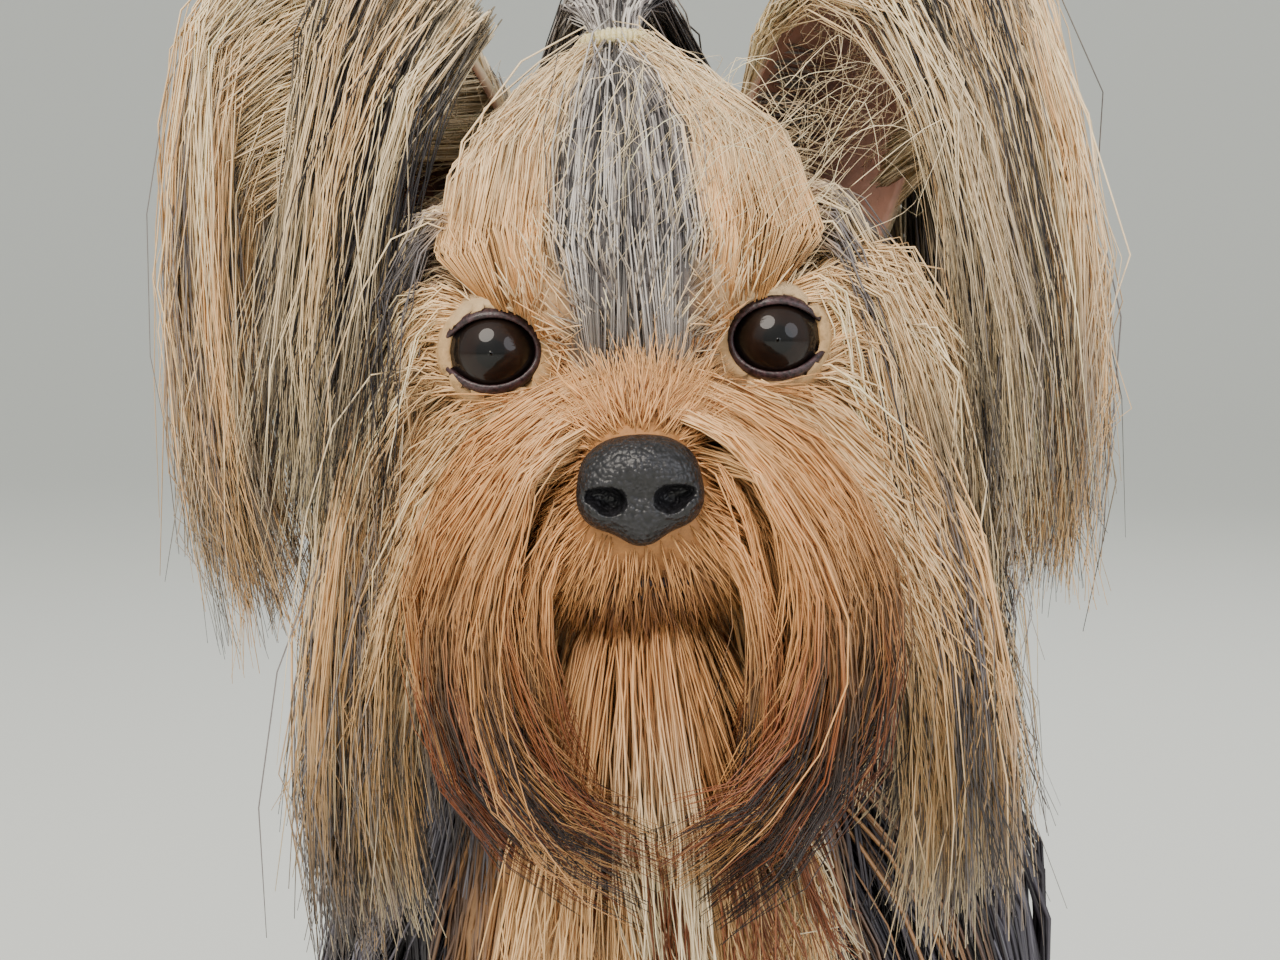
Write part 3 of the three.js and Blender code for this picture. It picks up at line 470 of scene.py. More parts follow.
for name, side in SIDES:
    centre, right, look, up = eye_frame(side)
    theta = np.concatenate([np.linspace(0.02, 1.2, 26), np.linspace(1.3, 3.1, 12)])
    turn = np.arange(48) / 48 * 2 * math.pi
    theta, turn = np.meshgrid(theta, turn, indexing="ij")
    reach = EYE_R + CLEAR_FRONT * np.maximum(0, 1 - (theta / 0.85) ** 2)
    flat = (reach * np.sin(theta))[..., None]
    across = np.stack([np.cos(turn), np.sin(turn)], -1)
    points = centre + flat * (across[..., :1] * right + across[..., 1:] * up)
    points = points + (reach * np.cos(theta))[..., None] * look
    rows, around = theta.shape
    faces = ring_faces(rows, around)
    odd = np.arange(1, around - 1, 2)
    caps = np.stack([0 * odd, odd, odd + 1, odd + 2], 1)
    faces = np.concatenate([faces, caps, (caps + (rows - 1) * around)[:, ::-1]])
    eye = new_piece(f"eye_{name}_globe", on_head(points.reshape(-1, 3)), faces, eye_finish)
    gaze = eye.data.attributes.new("gaze", "FLOAT_VECTOR", "POINT")
    from_middle = EYE_R * np.sin(np.minimum(theta, 1.57)) / IRIS_SPAN
    values = np.concatenate([across, from_middle[..., None]], -1)
    gaze.data.foreach_set("vector", values.astype(np.float32).ravel())
    outwards(eye)
    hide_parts("eye_" + name)


# The lids: thin rims of bare, purplish dark skin that lie on the globe and sink into the face. The
# opening is nearly round, a little wider than it is high, and drawn out at its inner corner.
lid_finish, tree, shader, creases = mottled(
    "bare lid skin, moist", 1400.0, 4.0, (0.35, "1c1214"), (0.7, "4a3236")
)
plug(tree, shader, Normal=bump(tree, creases, 0.5, 0.0003), Roughness=0.38)

# How far each row of the lid stands proud of the globe, in millimetres, and how many degrees past the edge.
LID_PROFILE = [
    (-0.6, 5), (-0.1, 1), (0.15, -1), (0.45, -1), (0.7, 1), (0.85, 4), (0.8, 9), (0.3, 16), (-1.2, 30),
]
for name, side in SIDES:
    centre, right, look, up = eye_frame(side)
    turn = np.arange(56) / 56 * 2 * math.pi
    inner = -side * np.cos(turn)
    open_x = 7.3 + 1.2 * np.maximum(0, inner) ** 6
    open_z = np.where(np.sin(turn) > 0, 5.9, 5.5)
    opening = 1 / np.sqrt((np.cos(turn) / open_x) ** 2 + (np.sin(turn) / open_z) ** 2)
    edge = np.arcsin(np.clip(opening / (EYE_R + 0.4), 0, 0.99))
    rows = []
    for proud, degrees in LID_PROFILE:
        theta = edge + math.radians(degrees)
        reach = EYE_R + CLEAR_FRONT + proud
        flat = (reach * np.sin(theta))[:, None]
        row = centre + flat * (np.cos(turn)[:, None] * right + np.sin(turn)[:, None] * up)
        rows.append(row + (reach * np.cos(theta))[:, None] * look)
    points = np.stack(rows)
    faces = ring_faces(len(rows) + 1, len(turn)) % points[..., 0].size
    outwards(new_piece("lids_" + name, on_head(points.reshape(-1, 3)), faces, lid_finish))


# The nose: a firm black pad of bare skin, pebbled all over and moist, with a comma of a nostril on each
# side and a shallow groove below the middle.
nose_shape = blend(
    3,
    egg(0, -36.5, -16.4, 9.2, 7, 5.4),
    *eggs(5.6, -37.5, -21, 4.8, 5.6, 5.4),
    egg(0, -37.5, -24.6, 4.6, 4.8, 4.6),
)
nostrils = (*eggs(4.9, -42.6, -21.2, 2.6, 4.6, 2.3), *eggs(6.9, -42, -20.4, 2.2, 3.4, 1.3))
groove = taper([0, -43.6, -21], [0, -41.6, -30], 0.35, 0.6)


def nose_pad(h):
    d = nose_shape(h)
    for cut in (*nostrils, groove):
        d = -soft_min(-d, cut(h), 0.9)
    return d


NOSE_LOW, NOSE_CELL = np.array([-13.0, -47.0, -32.0]), 0.42
nose_values = nose_pad(grid_of(NOSE_LOW, NOSE_CELL, (63, 48, 60)))
nose_points, nose_faces = surface_net(nose_values, NOSE_LOW, NOSE_CELL, nose_pad)
nose_finish, tree, shader, broad = mottled("pebbled nose leather, moist", 260.0, 3.0)
place = add(tree, "ShaderNodeTexCoord").outputs["Object"]
pebbles = add(tree, "ShaderNodeTexVoronoi", {"feature": "SMOOTH_F1"}, Vector=place, Scale=1500.0)
pebbles = pebbles.outputs["Distance"]
wet = add(tree, "ShaderNodeMapRange", Value=broad, To_Min=0.3, To_Max=0.5).outputs["Result"]
# Painted sheen and painted shade: the raised tops of the pebbles are painted grey and the grooves between
# them near black, on a nose that is black all over.
plug(
    tree, shader, Base_Color=colour_stops(tree, pebbles, (0.0, "2c2b2f"), (0.6, "0d0c0e")), Roughness=wet
)
plug(tree, shader, Normal=bump(tree, pebbles, 0.8, 0.0004, invert=True))
nose = new_piece("nose_leather", on_head(nose_points), nose_faces, nose_finish)
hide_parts("nose")


# The lips: two thin dark rolls of skin, one above and one below the line of the mouth. They follow the
# muzzle round to the corners of the mouth, mostly under hair.
MOUTH_Z = -37.0
lip_finish, tree, shader, _ = mottled("dark lip skin", 1200.0, 3.0, (0.0, "1a1011"), (1.0, "43282a"))
plug(tree, shader, Roughness=0.4)


def tube(line, radius, around):
    """Points and triangles of a closed tube along a line, with a radius for each point."""
    way = np.gradient(line, axis=0)
    way /= np.linalg.norm(way, axis=1, keepdims=True)
    a = np.cross(way, [0.01, 0.02, 1.0])
    a /= np.linalg.norm(a, axis=1, keepdims=True)
    b = np.cross(way, a)
    turn = np.arange(around) / around * 2 * math.pi
    spokes = np.cos(turn)[None, :, None] * a[:, None] + np.sin(turn)[None, :, None] * b[:, None]
    points = line[:, None] + spokes * np.asarray(radius)[:, None, None]
    points = np.concatenate([line[:1], points.reshape(-1, 3), line[-1:]])
    quads = ring_faces(len(line), around) + 1
    j = np.arange(around)
    k, last = (j + 1) % around, 1 + (len(line) - 1) * around
    first_cap = np.stack([0 * j, 1 + k, 1 + j], 1)
    last_cap = np.stack([last + j, last + k, 0 * j + len(points) - 1], 1)
    return points, np.concatenate([quads[:, [0, 1, 2]], quads[:, [0, 2, 3]], first_cap, last_cap])


def tubes_piece(name, parts, material):
    """One piece out of several tubes."""
    all_points, triangles, count = [], [], 0
    for points, faces in parts:
        all_points.append(points)
        triangles.append(faces + count)
        count += len(points)
    return new_piece(name, np.concatenate(all_points), np.concatenate(triangles), material)


LIP_R, LIP_POINTS = 1.1, 40
lip_tubes = []
for z, wide in ((MOUTH_Z + 1.2, 84), (MOUTH_Z - 1.2, 80)):
    turn = np.radians(np.linspace(-wide, wide, LIP_POINTS))
    rays = np.stack([np.sin(turn), -np.cos(turn), 0 * turn], 1)
    spot = np.stack([0 * turn, 0 * turn - 12, z - 0.03 * np.degrees(np.abs(turn))], 1)
    for _ in range(40):
        spot = spot - rays * head_shape(spot)[:, None] * 0.8
    lip_tubes.append(tube(on_head(spot), np.full(LIP_POINTS, LIP_R), 8))
tubes_piece("lips", lip_tubes, lip_finish)


# The ears: upright leathers of thin skin, rolled into cups that open forwards. Bare and brownish pink
# inside, where fine hairs stand, with painted shade that darkens the skin to brown deep in the cup, and
# furred outside and along the rims.
EAR_FOOT, EAR_TIP, EAR_HALF_WIDTH = np.array([33.0, 40, 24]), np.array([57.0, 42, 82]), 20.5


def ear_facing(side):
    """The way that the open front of the ear looks."""
    return np.array([0.42 * side, -0.9, 0])


def ear_at(side, u, t):
    """The point of the ear across its width u and up its height t, in the head's frame."""
    flip = np.array([side, 1, 1])
    foot, up = EAR_FOOT * flip, (EAR_TIP - EAR_FOOT) * flip
    rise = up / np.linalg.norm(up)
    front = ear_facing(side)
    front -= rise * (front @ rise)
    front /= np.linalg.norm(front)
    across = -np.cross(rise, front)
    u, t = np.broadcast_arrays(u, t)
    width = np.maximum(0.03, np.maximum(0, 1 - t) ** 0.72 * (0.86 + 0.75 * t))
    roll = np.radians(82 - 38 * t)
    turn, bow = (2 * u - 1) * roll, EAR_HALF_WIDTH * width / np.sin(roll)
    return (
        foot
        + up * t[..., None]
        + across * (bow * np.sin(turn))[..., None]
        - front * (bow * (np.cos(turn) - np.cos(roll)))[..., None]
    )


ear_finish, tree, shader, mottle = painted("thin ear skin", 330.0, 5.0, 0.7, 1.2)
plug(tree, shader, Normal=bump(tree, mottle, 0.5, 0.0006), Roughness=0.55)
plug(tree, shader, Subsurface_Weight=0.15, Subsurface_Radius=(0.002, 0.0008, 0.0005))

for name, side in SIDES:
    u, t = np.meshgrid(np.linspace(0, 1, 33), np.linspace(-0.14, 0.99, 34), indexing="xy")
    sheet = ear_at(side, u, t)
    along, across = np.gradient(sheet, axis=0), np.gradient(sheet, axis=1)
    facing = np.cross(across, along)
    facing /= np.linalg.norm(facing, axis=-1, keepdims=True)
    facing *= np.sign((facing @ ear_facing(side)).mean())
    thick = 0.45 + 0.5 * (1 - t)[..., None]
    loop = np.concatenate([sheet + facing * thick, (sheet - facing * thick)[:, ::-1]], axis=1)
    rows, around = loop.shape[:2]
    faces = ring_faces(rows, around)
    j = np.arange(u.shape[1] - 1)
    base = np.stack([j, j + 1, around - 2 - j, around - 1 - j], 1)
    faces = np.concatenate([faces, base[:, ::-1], base + (rows - 1) * around])
    # Painted shade: the bare skin inside is painted from pink to brown towards the middle and the foot of
    # the cup, where it lies deepest.
    painted_cup_shade = np.clip(1 - np.abs(2 * u - 1), 0, 1) * np.clip(1.1 - t, 0, 1)
    bare = mixed(PINK_SKIN, CUP_SHADE_BROWN, ramp(painted_cup_shade, 0.25, 0.95))
    fur = mixed(CREAM * 0.7, GREY * 0.6, ramp(t, 0.2, 0.9) * 0.5)
    colours = np.concatenate([bare, fur[:, ::-1]], axis=1).reshape(-1, 3)
    ear = new_piece(f"ear_{name}_leather", on_head(loop.reshape(-1, 3)), faces, ear_finish, colours)
    outwards(ear)
    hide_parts("ear_" + name)


# The hair band: a ring of covered elastic, pale cream, gathered into small ribs as it tightens round the
# stem of the topknot. Geometry Nodes set one rib after another along the ring.
BAND_AT, BAND_R, BAND_THICK, BAND_RIBS = np.array([-1.0, 27, 50]), 6.0, 1.6, 44
band_finish, tree, shader, threads = mottled(
    "covered elastic, pale cream", 2600.0, 2.0, (0.3, "c9b878"), (0.7, "f0e6bd")
)
plug(tree, shader, Normal=bump(tree, threads, 0.6, 0.0002), Roughness=0.75, Sheen_Weight=0.3)

band_tree = bpy.data.node_groups.new("gathered elastic ring", "GeometryNodeTree")
band_tree.interface.new_socket("Geometry", in_out="OUTPUT", socket_type="NodeSocketGeometry")
for label, kind, value in (
    ("Ring Radius", "NodeSocketFloat", BAND_R / 1000),
    ("Rib Radius", "NodeSocketFloat", BAND_THICK / 1000),
    ("Ribs", "NodeSocketInt", BAND_RIBS),
):
    band_tree.interface.new_socket(label, in_out="INPUT", socket_type=kind).default_value = value
sizes = add(band_tree, "NodeGroupInput")
ring_radius, rib_radius = sizes.outputs["Ring Radius"], sizes.outputs["Rib Radius"]
ring = add(band_tree, "GeometryNodeCurvePrimitiveCircle", at0=sizes.outputs["Ribs"], Radius=ring_radius)
rib = add(band_tree, "GeometryNodeMeshUVSphere", Segments=14, Rings=8, Radius=rib_radius)
squeeze = add(band_tree, "GeometryNodeTransform", Geometry=rib.outputs["Mesh"], Scale=(1.0, 1.0, 0.42))
way = add(band_tree, "GeometryNodeInputTangent")
turn = add(band_tree, "FunctionNodeAlignRotationToVector", {"axis": "Z"}, Vector=way.outputs["Tangent"])
vary = add(band_tree, "FunctionNodeRandomValue", {"data_type": "FLOAT"}, Seed=7, at2=0.9, at3=1.06)
ribs = add(
    band_tree,
    "GeometryNodeInstanceOnPoints",
    Points=ring.outputs["Curve"],
    Instance=squeeze.outputs["Geometry"],
    Rotation=turn.outputs["Rotation"],
    Scale=vary.outputs[1],
)
whole = add(band_tree, "GeometryNodeRealizeInstances", Geometry=ribs.outputs["Instances"])
coated = add(
    band_tree, "GeometryNodeSetMaterial", Geometry=whole.outputs["Geometry"], Material=band_finish
)
smooth = add(band_tree, "GeometryNodeSetShadeSmooth", at0=coated.outputs["Geometry"])
add(band_tree, "NodeGroupOutput", Geometry=smooth.outputs[0])
maker = new_object("band_maker", bpy.data.meshes.new("band_maker"))
maker.modifiers.new("ribs", "NODES").node_group = band_tree
settled = maker.evaluated_get(bpy.context.evaluated_depsgraph_get())
band_mesh = bpy.data.meshes.new_from_object(settled)
bpy.data.objects.remove(maker)
band_way = HEAD_TURN @ np.array([0, 0.42, 0.91])
band_turn = Vector(band_way).to_track_quat("Z", "Y").to_matrix().to_4x4()
band_mesh.transform(Matrix.Translation(Vector(in_metres(on_head(BAND_AT)))) @ band_turn)
band = new_object("elastic_band", band_mesh)
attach(band, "root")
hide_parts("hair_band")


# The claws: four to a paw, of black horn, curved down from the toes and narrower towards the floor.
# Each is a short bent cone that starts inside its toe.
claw_finish, tree, shader, _ = mottled("black claw horn", 900.0, 3.0, (0.0, "131112"), (1.0, "3a3230"))
plug(tree, shader, Roughness=0.35)
claw_tubes = []
for x, y in PAWS:
    for toe in TOES:
        root = np.array([x + TOE_GAP * toe, toe_line(y, toe) - 4.4, 5.8])
        tip = np.array([x + 1.1 * TOE_GAP * toe, toe_line(y, toe) - 12.2, 1.1])
        t = np.linspace(0, 1, 9)[:, None]
        line = root + (tip - root) * t + np.array([0, -0.3, 1.6]) * 4 * t * (1 - t) * 0.8
        claw_tubes.append(tube(line, 1.55 - 1.15 * t[:, 0] ** 1.3, 10))
claws = tubes_piece("claws", claw_tubes, claw_finish)
paw_names = [f"{limb}claw_{name}_" for limb in ("fore", "hind") for name, _ in SIDES]
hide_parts(*[paw + str(number) for paw in paw_names for number in (1, 2, 3, 4)])


# The coat: silky hair that hangs in locks. Each tuft is a thin closed three-sided blade, drawn out to a
# point, and a lock is a few dozen of them that start apart on the skin and close up towards its end.
coat_finish, tree, shader, _ = painted("long silky hair", 700.0, 2.0, 0.8, 1.2)
plug(tree, shader, Roughness=0.42, Specular_IOR_Level=0.6)
UV_PATCH = 0.003


def smooth_line(knots, t):
    """Points at t, from 0 to 1, on a smooth line through each row of knots."""
    last = knots.shape[1] - 1
    q = np.clip(t, 0, 1) * last
    i = np.clip(q.astype(int), 0, last - 1)
    f = (q - i)[..., None]
    row = np.arange(len(knots))[:, None]
    p0, p1 = knots[row, np.maximum(i - 1, 0)], knots[row, i]
    p2, p3 = knots[row, i + 1], knots[row, np.minimum(i + 2, last)]
    return 0.5 * (
        2 * p1
        + (p2 - p0) * f
        + (2 * p0 - 5 * p1 + 4 * p2 - p3) * f * f
        + (3 * p1 - 3 * p2 + p3 - p0) * f**3
    )


def knots(side, *points):
    """Rows of knots from coordinates in the head's frame, numbers or arrays, with x towards the side."""
    count = max(np.size(n) for point in points for n in point)
    spots = [np.stack([np.broadcast_to(n, count) for n in point], -1) for point in points]
    return on_head(np.stack(spots, 1) * [side, 1, 1])


def combed(knot_rows, t, start=0.0):
    """Lines through knots, with the first point brought down to the skin."""
    t = start + (1 - start) * t
    line = smooth_line(knot_rows, t)
    away, out = skin_near(line[:, 0])
    drop = -out * away[:, None]
    near_root = np.maximum(0, 1 - (t - t[:, :1]) / 0.3) ** 2
    return line + drop[:, None] * near_root[..., None]


def places_along(count, rings):
    """Places along each of the lines, from 0 at the root to 1 at the end."""
    return np.linspace(0, 1, rings)[None, :] * np.ones((count, 1))


def fallen(root, lie, length, t, pull=0.5, stand=0.3):
    """Lines that leave the skin along their lie, fall, and rest on what is under them."""
    away, out = skin_near(root)
    p = root - out * away[:, None]
    way = lie - out * (lie * out).sum(-1, keepdims=True) * 0.7 + out * stand
    way = way / np.linalg.norm(way, axis=-1, keepdims=True)
    line = [p]
    for i in range(1, t.shape[1]):
        stride = (t[:, i] - t[:, i - 1])[:, None] * np.reshape(length, (-1, 1))
        way = way + np.array([0, 0, -1]) * pull * np.minimum(1, stride / 12)
        way /= np.linalg.norm(way, axis=-1, keepdims=True)
        q = p + way * stride
        away, out = skin_near(q)
        q = q + out * np.maximum(0, 0.6 - away)[:, None]
        way = (q - p) / np.maximum(1e-6, np.linalg.norm(q - p, axis=-1, keepdims=True))
        p = q
        line.append(p)
    return np.stack(line, 1)


def raised(line, want, passes=2, smooth=False):
    """Lines brought up to the wanted heights over the skin, apart from their roots."""
    for _ in range(passes):
        away, out = skin_near(line)
        short = np.maximum(0, want - away)
        short[:, 0] = 0
        line += out * short[..., None]
        if smooth:
            line[:, 1:-1] = (line[:, :-2] + 2 * line[:, 1:-1] + line[:, 2:]) / 4
    return line


def tufts(random, line, t, lock, locks, **places):
    """Tufts as a record: their lines, and shares drawn for each lock and for each tuft."""
    by_lock, by_lock_again = random.random(locks)[lock], random.random(locks)[lock]
    own = random.random(len(lock))
    return {"line": line, "t": t, "lock": by_lock, "lock_other": by_lock_again, "own": own, **places}


# Steps that spread the locks evenly over both of their places.
EVEN_STEP_A, EVEN_STEP_B = 0.618034, 0.754878


def tress(
    seed, locks, each, shape, rings=6, spread=0.08, clump=0.7, loose=1.0,
    wave=0.5, stray=0.0, lift=(0.3, 2.0), cut=0.25, gather=0.0,
):
    """The tufts of a group of locks. shape gives their lines from places a and b, which run from 0 to 1.

    spread sets the tufts of a lock apart at their roots, and clump closes them up towards their ends.
    loose lets each tuft stray, stray each lock, and wave bends them; gather takes this back at the end.
    lift is the least and the most height over the skin, and cut the most that a tuft may be short of.
    """
    flyaway_share, flyaway_more = 0.07, 3
    random = np.random.default_rng(seed)
    number = np.arange(locks)
    lock_a = (number * EVEN_STEP_A + random.random()) % 1
    lock_b = (number * EVEN_STEP_B + random.random()) % 1
    lock = np.repeat(number, each)
    count = len(lock)
    a = 1 - np.abs(1 - np.abs(lock_a[lock] + spread * random.normal(size=count)))
    b = 1 - np.abs(1 - np.abs(lock_b[lock] + spread * random.normal(size=count)))
    t = places_along(count, rings)
    reach = 1 - cut * random.random(count) ** 2
    t_now = t * reach[:, None]
    own = shape(a, b, t_now)
    core = shape(lock_a, lock_b, t[:locks])[lock] if clump else own
    close = (clump * ramp(t_now, 0.05, 0.9))[..., None]
    line = own * (1 - close) + core * close
    drift = random.normal(size=(count, 3)) * loose
    drift = drift * np.where(random.random(count) < flyaway_share, flyaway_more, 1)[:, None]
    free = 1 - gather * ramp(t_now, 0.6, 1)
    line += drift[:, None] * (free * t_now**0.8)[..., None]
    line += (random.normal(size=(locks, 3)) * stray)[lock][:, None] * (t_now**1.3)[..., None]
    sway = random.normal(size=(locks, 3))[lock] + 0.4 * random.normal(size=(count, 3))
    phase = (random.random(locks)[lock] + 0.15 * random.normal(size=count)) * 2 * math.pi
    turns = 1.2 + 1.0 * random.random(locks)[lock]
    swing = np.sin(turns[:, None] * 2 * math.pi * t_now + phase[:, None]) * t_now * free * wave
    line += sway[:, None] * swing[..., None]
    high = lift[0] + (lift[1] - lift[0]) * random.random(count)[:, None]
    want = high * ramp(t_now, 0, 0.3) * (1 - 0.9 * ramp(t_now, 0.8, 1))
    return tufts(random, raised(line, want), t_now, lock, locks, a=a)


def gradient(hairs, *stops):
    """Colours along the tufts, from stops of place and colour; a colour may differ from tuft to tuft."""
    t = hairs["t"]
    colour = np.broadcast_to(np.expand_dims(stops[0][1], -2), (*t.shape, 3))
    for (low, _), (high, code) in zip(stops[:-1], stops[1:]):
        colour = mixed(colour, np.expand_dims(code, -2), ramp(t, low, high))
    return colour


def chosen(hairs, share, dark, light, by="lock"):
    """dark for a share of the locks, or of the tufts, and light for the rest."""
    return np.where((hairs[by] < share)[:, None], dark, light)


OPENING_WIDE, OPENING_HIGH = 8.3, 7.1


def clear_of_eyes(line):
    """Which lines leave the opening of the lids free."""
    halfway = (line[:, 1:] + line[:, :-1]) / 2
    h = to_head(np.concatenate([line, halfway], 1))
    x, z = (np.abs(h[..., 0]) - EYE[0]) / OPENING_WIDE, (h[..., 2] - 0.2) / OPENING_HIGH
    crosses = (x * x + z * z < 1) & (h[..., 1] > -24) & (h[..., 1] < 6)
    return ~crosses.any(1)


def coat_piece(name, slot, *groups):
    """One mesh out of groups of tufts: each group is its tufts, their colours and their width."""
    points, faces, colours, uvs, first = [], [], [], [], 0
    for hairs, colour, width in groups:
        free = clear_of_eyes(hairs["line"])
        hairs = {key: value[free] for key, value in hairs.items()}
        line, t, colour = hairs["line"], hairs["t"], colour[free]
        count, rings = t.shape
        way = np.gradient(line, axis=1)
        way /= np.maximum(1e-6, np.linalg.norm(way, axis=-1, keepdims=True))
        _, out = skin_near(line)
        face = out - way * (out * way).sum(-1, keepdims=True)
        face /= np.maximum(1e-6, np.linalg.norm(face, axis=-1, keepdims=True))
        side = np.cross(way, face)
        lean = ((hairs["own"] - 0.5) * 1.6)[:, None, None]
        turned = side * np.cos(lean) - face * np.sin(lean)
        face, side = face * np.cos(lean) + side * np.sin(lean), turned
        # A tuft is widest at a third of its length, and narrow at its end.
        s = np.linspace(0, 1, rings)[None, :, None]
        half = width * 0.5 * (0.7 + 0.45 * hairs["own"][:, None, None]) * (0.75 + 0.9 * s - 1.35 * s * s)
        half = np.maximum(half, width * 0.04)
        low = face * half * 0.3
        corners = np.stack(
            [line - side * half - low, line + face * half * 0.75, line + side * half - low], 2
        )
        points.append(corners.reshape(-1, 3))
        start = first + (np.arange(count) * rings * 3)[:, None]
        base = start + np.arange(rings - 1)[None, :] * 3
        for j in range(3):
            k = (j + 1) % 3
            faces.append(np.stack([base + j, base + 3 + k, base + k], -1).reshape(-1, 3))
            faces.append(np.stack([base + j, base + 3 + j, base + 3 + k], -1).reshape(-1, 3))
        faces.append((start + np.array([0, 1, 2])).reshape(-1, 3))
        faces.append((start + (rings - 1) * 3 + np.array([2, 1, 0])).reshape(-1, 3))
        first += count * rings * 3
        bright = 0.76 + 0.38 * hairs["own"][:, None] + 0.3 * (hairs["lock_other"][:, None] - 0.5)
        tone = colour * bright[..., None]
        colours.append(np.repeat(tone.reshape(-1, 3), 3, axis=0))
        # Each tuft has a small patch of the map, placed by its root as seen from inside the head or body.
        from_middle = to_head(line[:, 0]) - [0, 20, 0]
        high = from_middle[:, 2] / np.maximum(1, np.linalg.norm(from_middle, axis=-1))
        on_head_uv = np.stack(
            [np.arctan2(from_middle[:, 0], -from_middle[:, 1]), 2 * np.arcsin(high)], -1
        )
        root = line[:, 0]
        on_body_uv = np.stack([(root[:, 1] - 20) / 70, np.arctan2(root[:, 0], root[:, 2] - 150)], -1)
        is_head = (root[:, 2] > 215) & (root[:, 1] < -20)
        middle = 0.5 + np.where(is_head[:, None], on_head_uv, on_body_uv) / (2 * math.pi) * 0.97
        patch = np.zeros((count, rings, 3, 2))
        patch[..., 0] = (np.arange(3) / 2 - 0.5) * UV_PATCH
        patch[..., 1] = (s[..., 0] - 0.5)[..., None] * UV_PATCH
        uvs.append((middle[:, None, None] + patch).reshape(-1, 2))
    points, faces, colours, uvs = map(np.concatenate, (points, faces, colours, uvs))
    made = new_piece(name, points, faces, coat_finish, np.clip(colours, 0, 1), uvs)
    return made


# The hair of the forehead: combed up from the brows over the skull and gathered into the band, with the
# silver and dark streak down its middle and cream on both sides.
def forehead_lines(a, b, t):
    x = 2 * a - 1
    w = np.abs(x)
    rows = knots(
        1,
        (28 * x, -11 + 14 * w**1.5, -10 + 21 * w),
        (33.5 * x, -3 + 6 * w**2, 22 - 3 * w**3),
        (25.5 * x, 10 + 2 * w**2, 41 - 4 * w**2),
        (5.5 * x - 1, 22, 50),
        (3.6 * x - 1, 26, 51),
    )
    return combed(rows, t, 0.62 * b[:, None] ** 1.9)


forehead = tress(
    11, 165, 20, forehead_lines, spread=0.03, clump=0.5, wave=1.1, lift=(0.3, 3.6), cut=0.04, gather=0.9
)
across = np.abs(2 * forehead["a"] - 1)
streak = (1 - ramp(across + 0.1 * (forehead["own"] - 0.5), 0.33, 0.45))[:, None]
silvery = chosen(forehead, 0.45, CHARCOAL * 0.8, chosen(forehead, 0.65, GREY, SILVER, "own"), "own")
pale = mixed(CREAM, GOLD, forehead["lock_other"] * 0.6)
warm = gradient(forehead, (0.0, TAN), (0.22, GOLD), (0.5, pale), (1.0, CREAM))
silver_line = gradient(forehead, (0.0, SILVER), (0.2, silvery), (1.0, mixed(silvery, SILVER, 0.45)))
forehead_colour = mixed(warm, silver_line, streak)


def flyaway_lines(a, b, t):
    rows = knots(
        1,
        (-20 + 54 * a, -4 + 14 * b, 10 + 30 * b),
        (-16 + 58 * a, -12 + 14 * b, 20 + 28 * b),
        (-12 + 64 * a, -14 + 16 * b, 30 + 18 * b),
        (-9 + 62 * a, -8 + 16 * b, 20 + 18 * b),
    )
    return combed(rows, t)


flyaway = tress(13, 110, 1, flyaway_lines, rings=15, clump=0, loose=3, wave=3.6, lift=(0.3, 9), cut=0.6)
flyaway_colour = gradient(flyaway, (0.0, CREAM))
coat_piece(
    "coat_forehead", "coat_silver", (forehead, forehead_colour, 0.42), (flyaway, flyaway_colour, 0.15)
)


# The moustache: hair from the ridge of the nose and the sides of the muzzle, parted down the middle,
# that stands out to each side and falls in long arcs, orange at the root and nearly black at its ends.
def moustache_lines(side, a, b, t):
    near = 1 - 0.3 * a
    y = -5 - 27 * a
    wide = 1.06 if side > 0 else 1.0
    rows = knots(
        side,
        (1 + 12 * b, y, -5 - 3 * a - 10 * b * b),
        (13 + 7 * b, y - 4, -5 - 6 * a - 9 * b),
        (29 * near * wide, y - 4, -15 - 7 * a - 3 * b),
        (38 * near * wide, y - 4, -35 - 3 * a),
        ((39 * near - 2 * b) * wide, y - 3, -54),
        ((30 * near - 3 * b) * wide, y - 3, -76 + 4 * a),
        (8 * near * wide, y - 4, -93 + 10 * a + 6 * b),
    )
    return combed(rows, t)


def lip_lines(side, a, b, t):
    y = -4 - 28 * a
    rows = knots(
        side,
        (14 - 4 * a, y, -15 - 17 * b),
        (21 - 6 * a, y - 3, -18 - 18 * b),
        (29 - 8 * a - 3 * b, y - 3, -36 - 8 * b),
        (30 - 9 * a - 3 * b, y - 3, -58),
        (22 - 7 * a, y - 2, -80 + 5 * a),
    )
    return combed(rows, t)


for name, side in SIDES:
    arcs = tress(
        20 + side, 60, 20, partial(moustache_lines, side), rings=10, spread=0.055, clump=0.85, loose=1.2,
        wave=1.6, stray=4.0, lift=(0.5, 5.0), cut=0.55,
    )
    end = chosen(arcs, 0.4, BLACK_BROWN, chosen(arcs, 0.75, RUST, TAN))
    arcs_colour = gradient(arcs, (0.0, GOLD), (0.32, LIGHT_ORANGE), (0.72, end), (1.0, end * 0.8))
    lip = tress(
        30 + side, 36, 20, partial(lip_lines, side), spread=0.06, clump=0.8, loose=1.1, wave=1.2,
        stray=3.0, lift=(0.4, 2.2), cut=0.5,
    )
    end = chosen(lip, 0.45, BLACK_BROWN, chosen(lip, 0.85, RUST, TAN))
    lip_colour = gradient(lip, (0.0, TAN), (0.3, LIGHT_ORANGE), (0.8, end))
    coat_piece("coat_moustache_" + name, "coat_tan", (arcs, arcs_colour, 0.46), (lip, lip_colour, 0.46))


# The beard: long golden hair from the chin and the lower jaw, hanging straight down over the chest.
def beard_lines(a, b, t):
    x = 2 * a - 1
    y = -26 + 26 * b
    rows = knots(
        1,
        (9.5 * x, y + 5 * x * x, -41 - 2 * b),
        (14 * x, y - 3 + 4 * x * x, -54),
        (21 * x + 1, y - 3 + 4 * x * x, -78),
        (25 * x + 2, y - 2 + 4 * x * x, -100),
        (27 * x + 3, y + 4 * x * x, -122 + 10 * np.abs(x)),
    )
    return combed(rows, t)


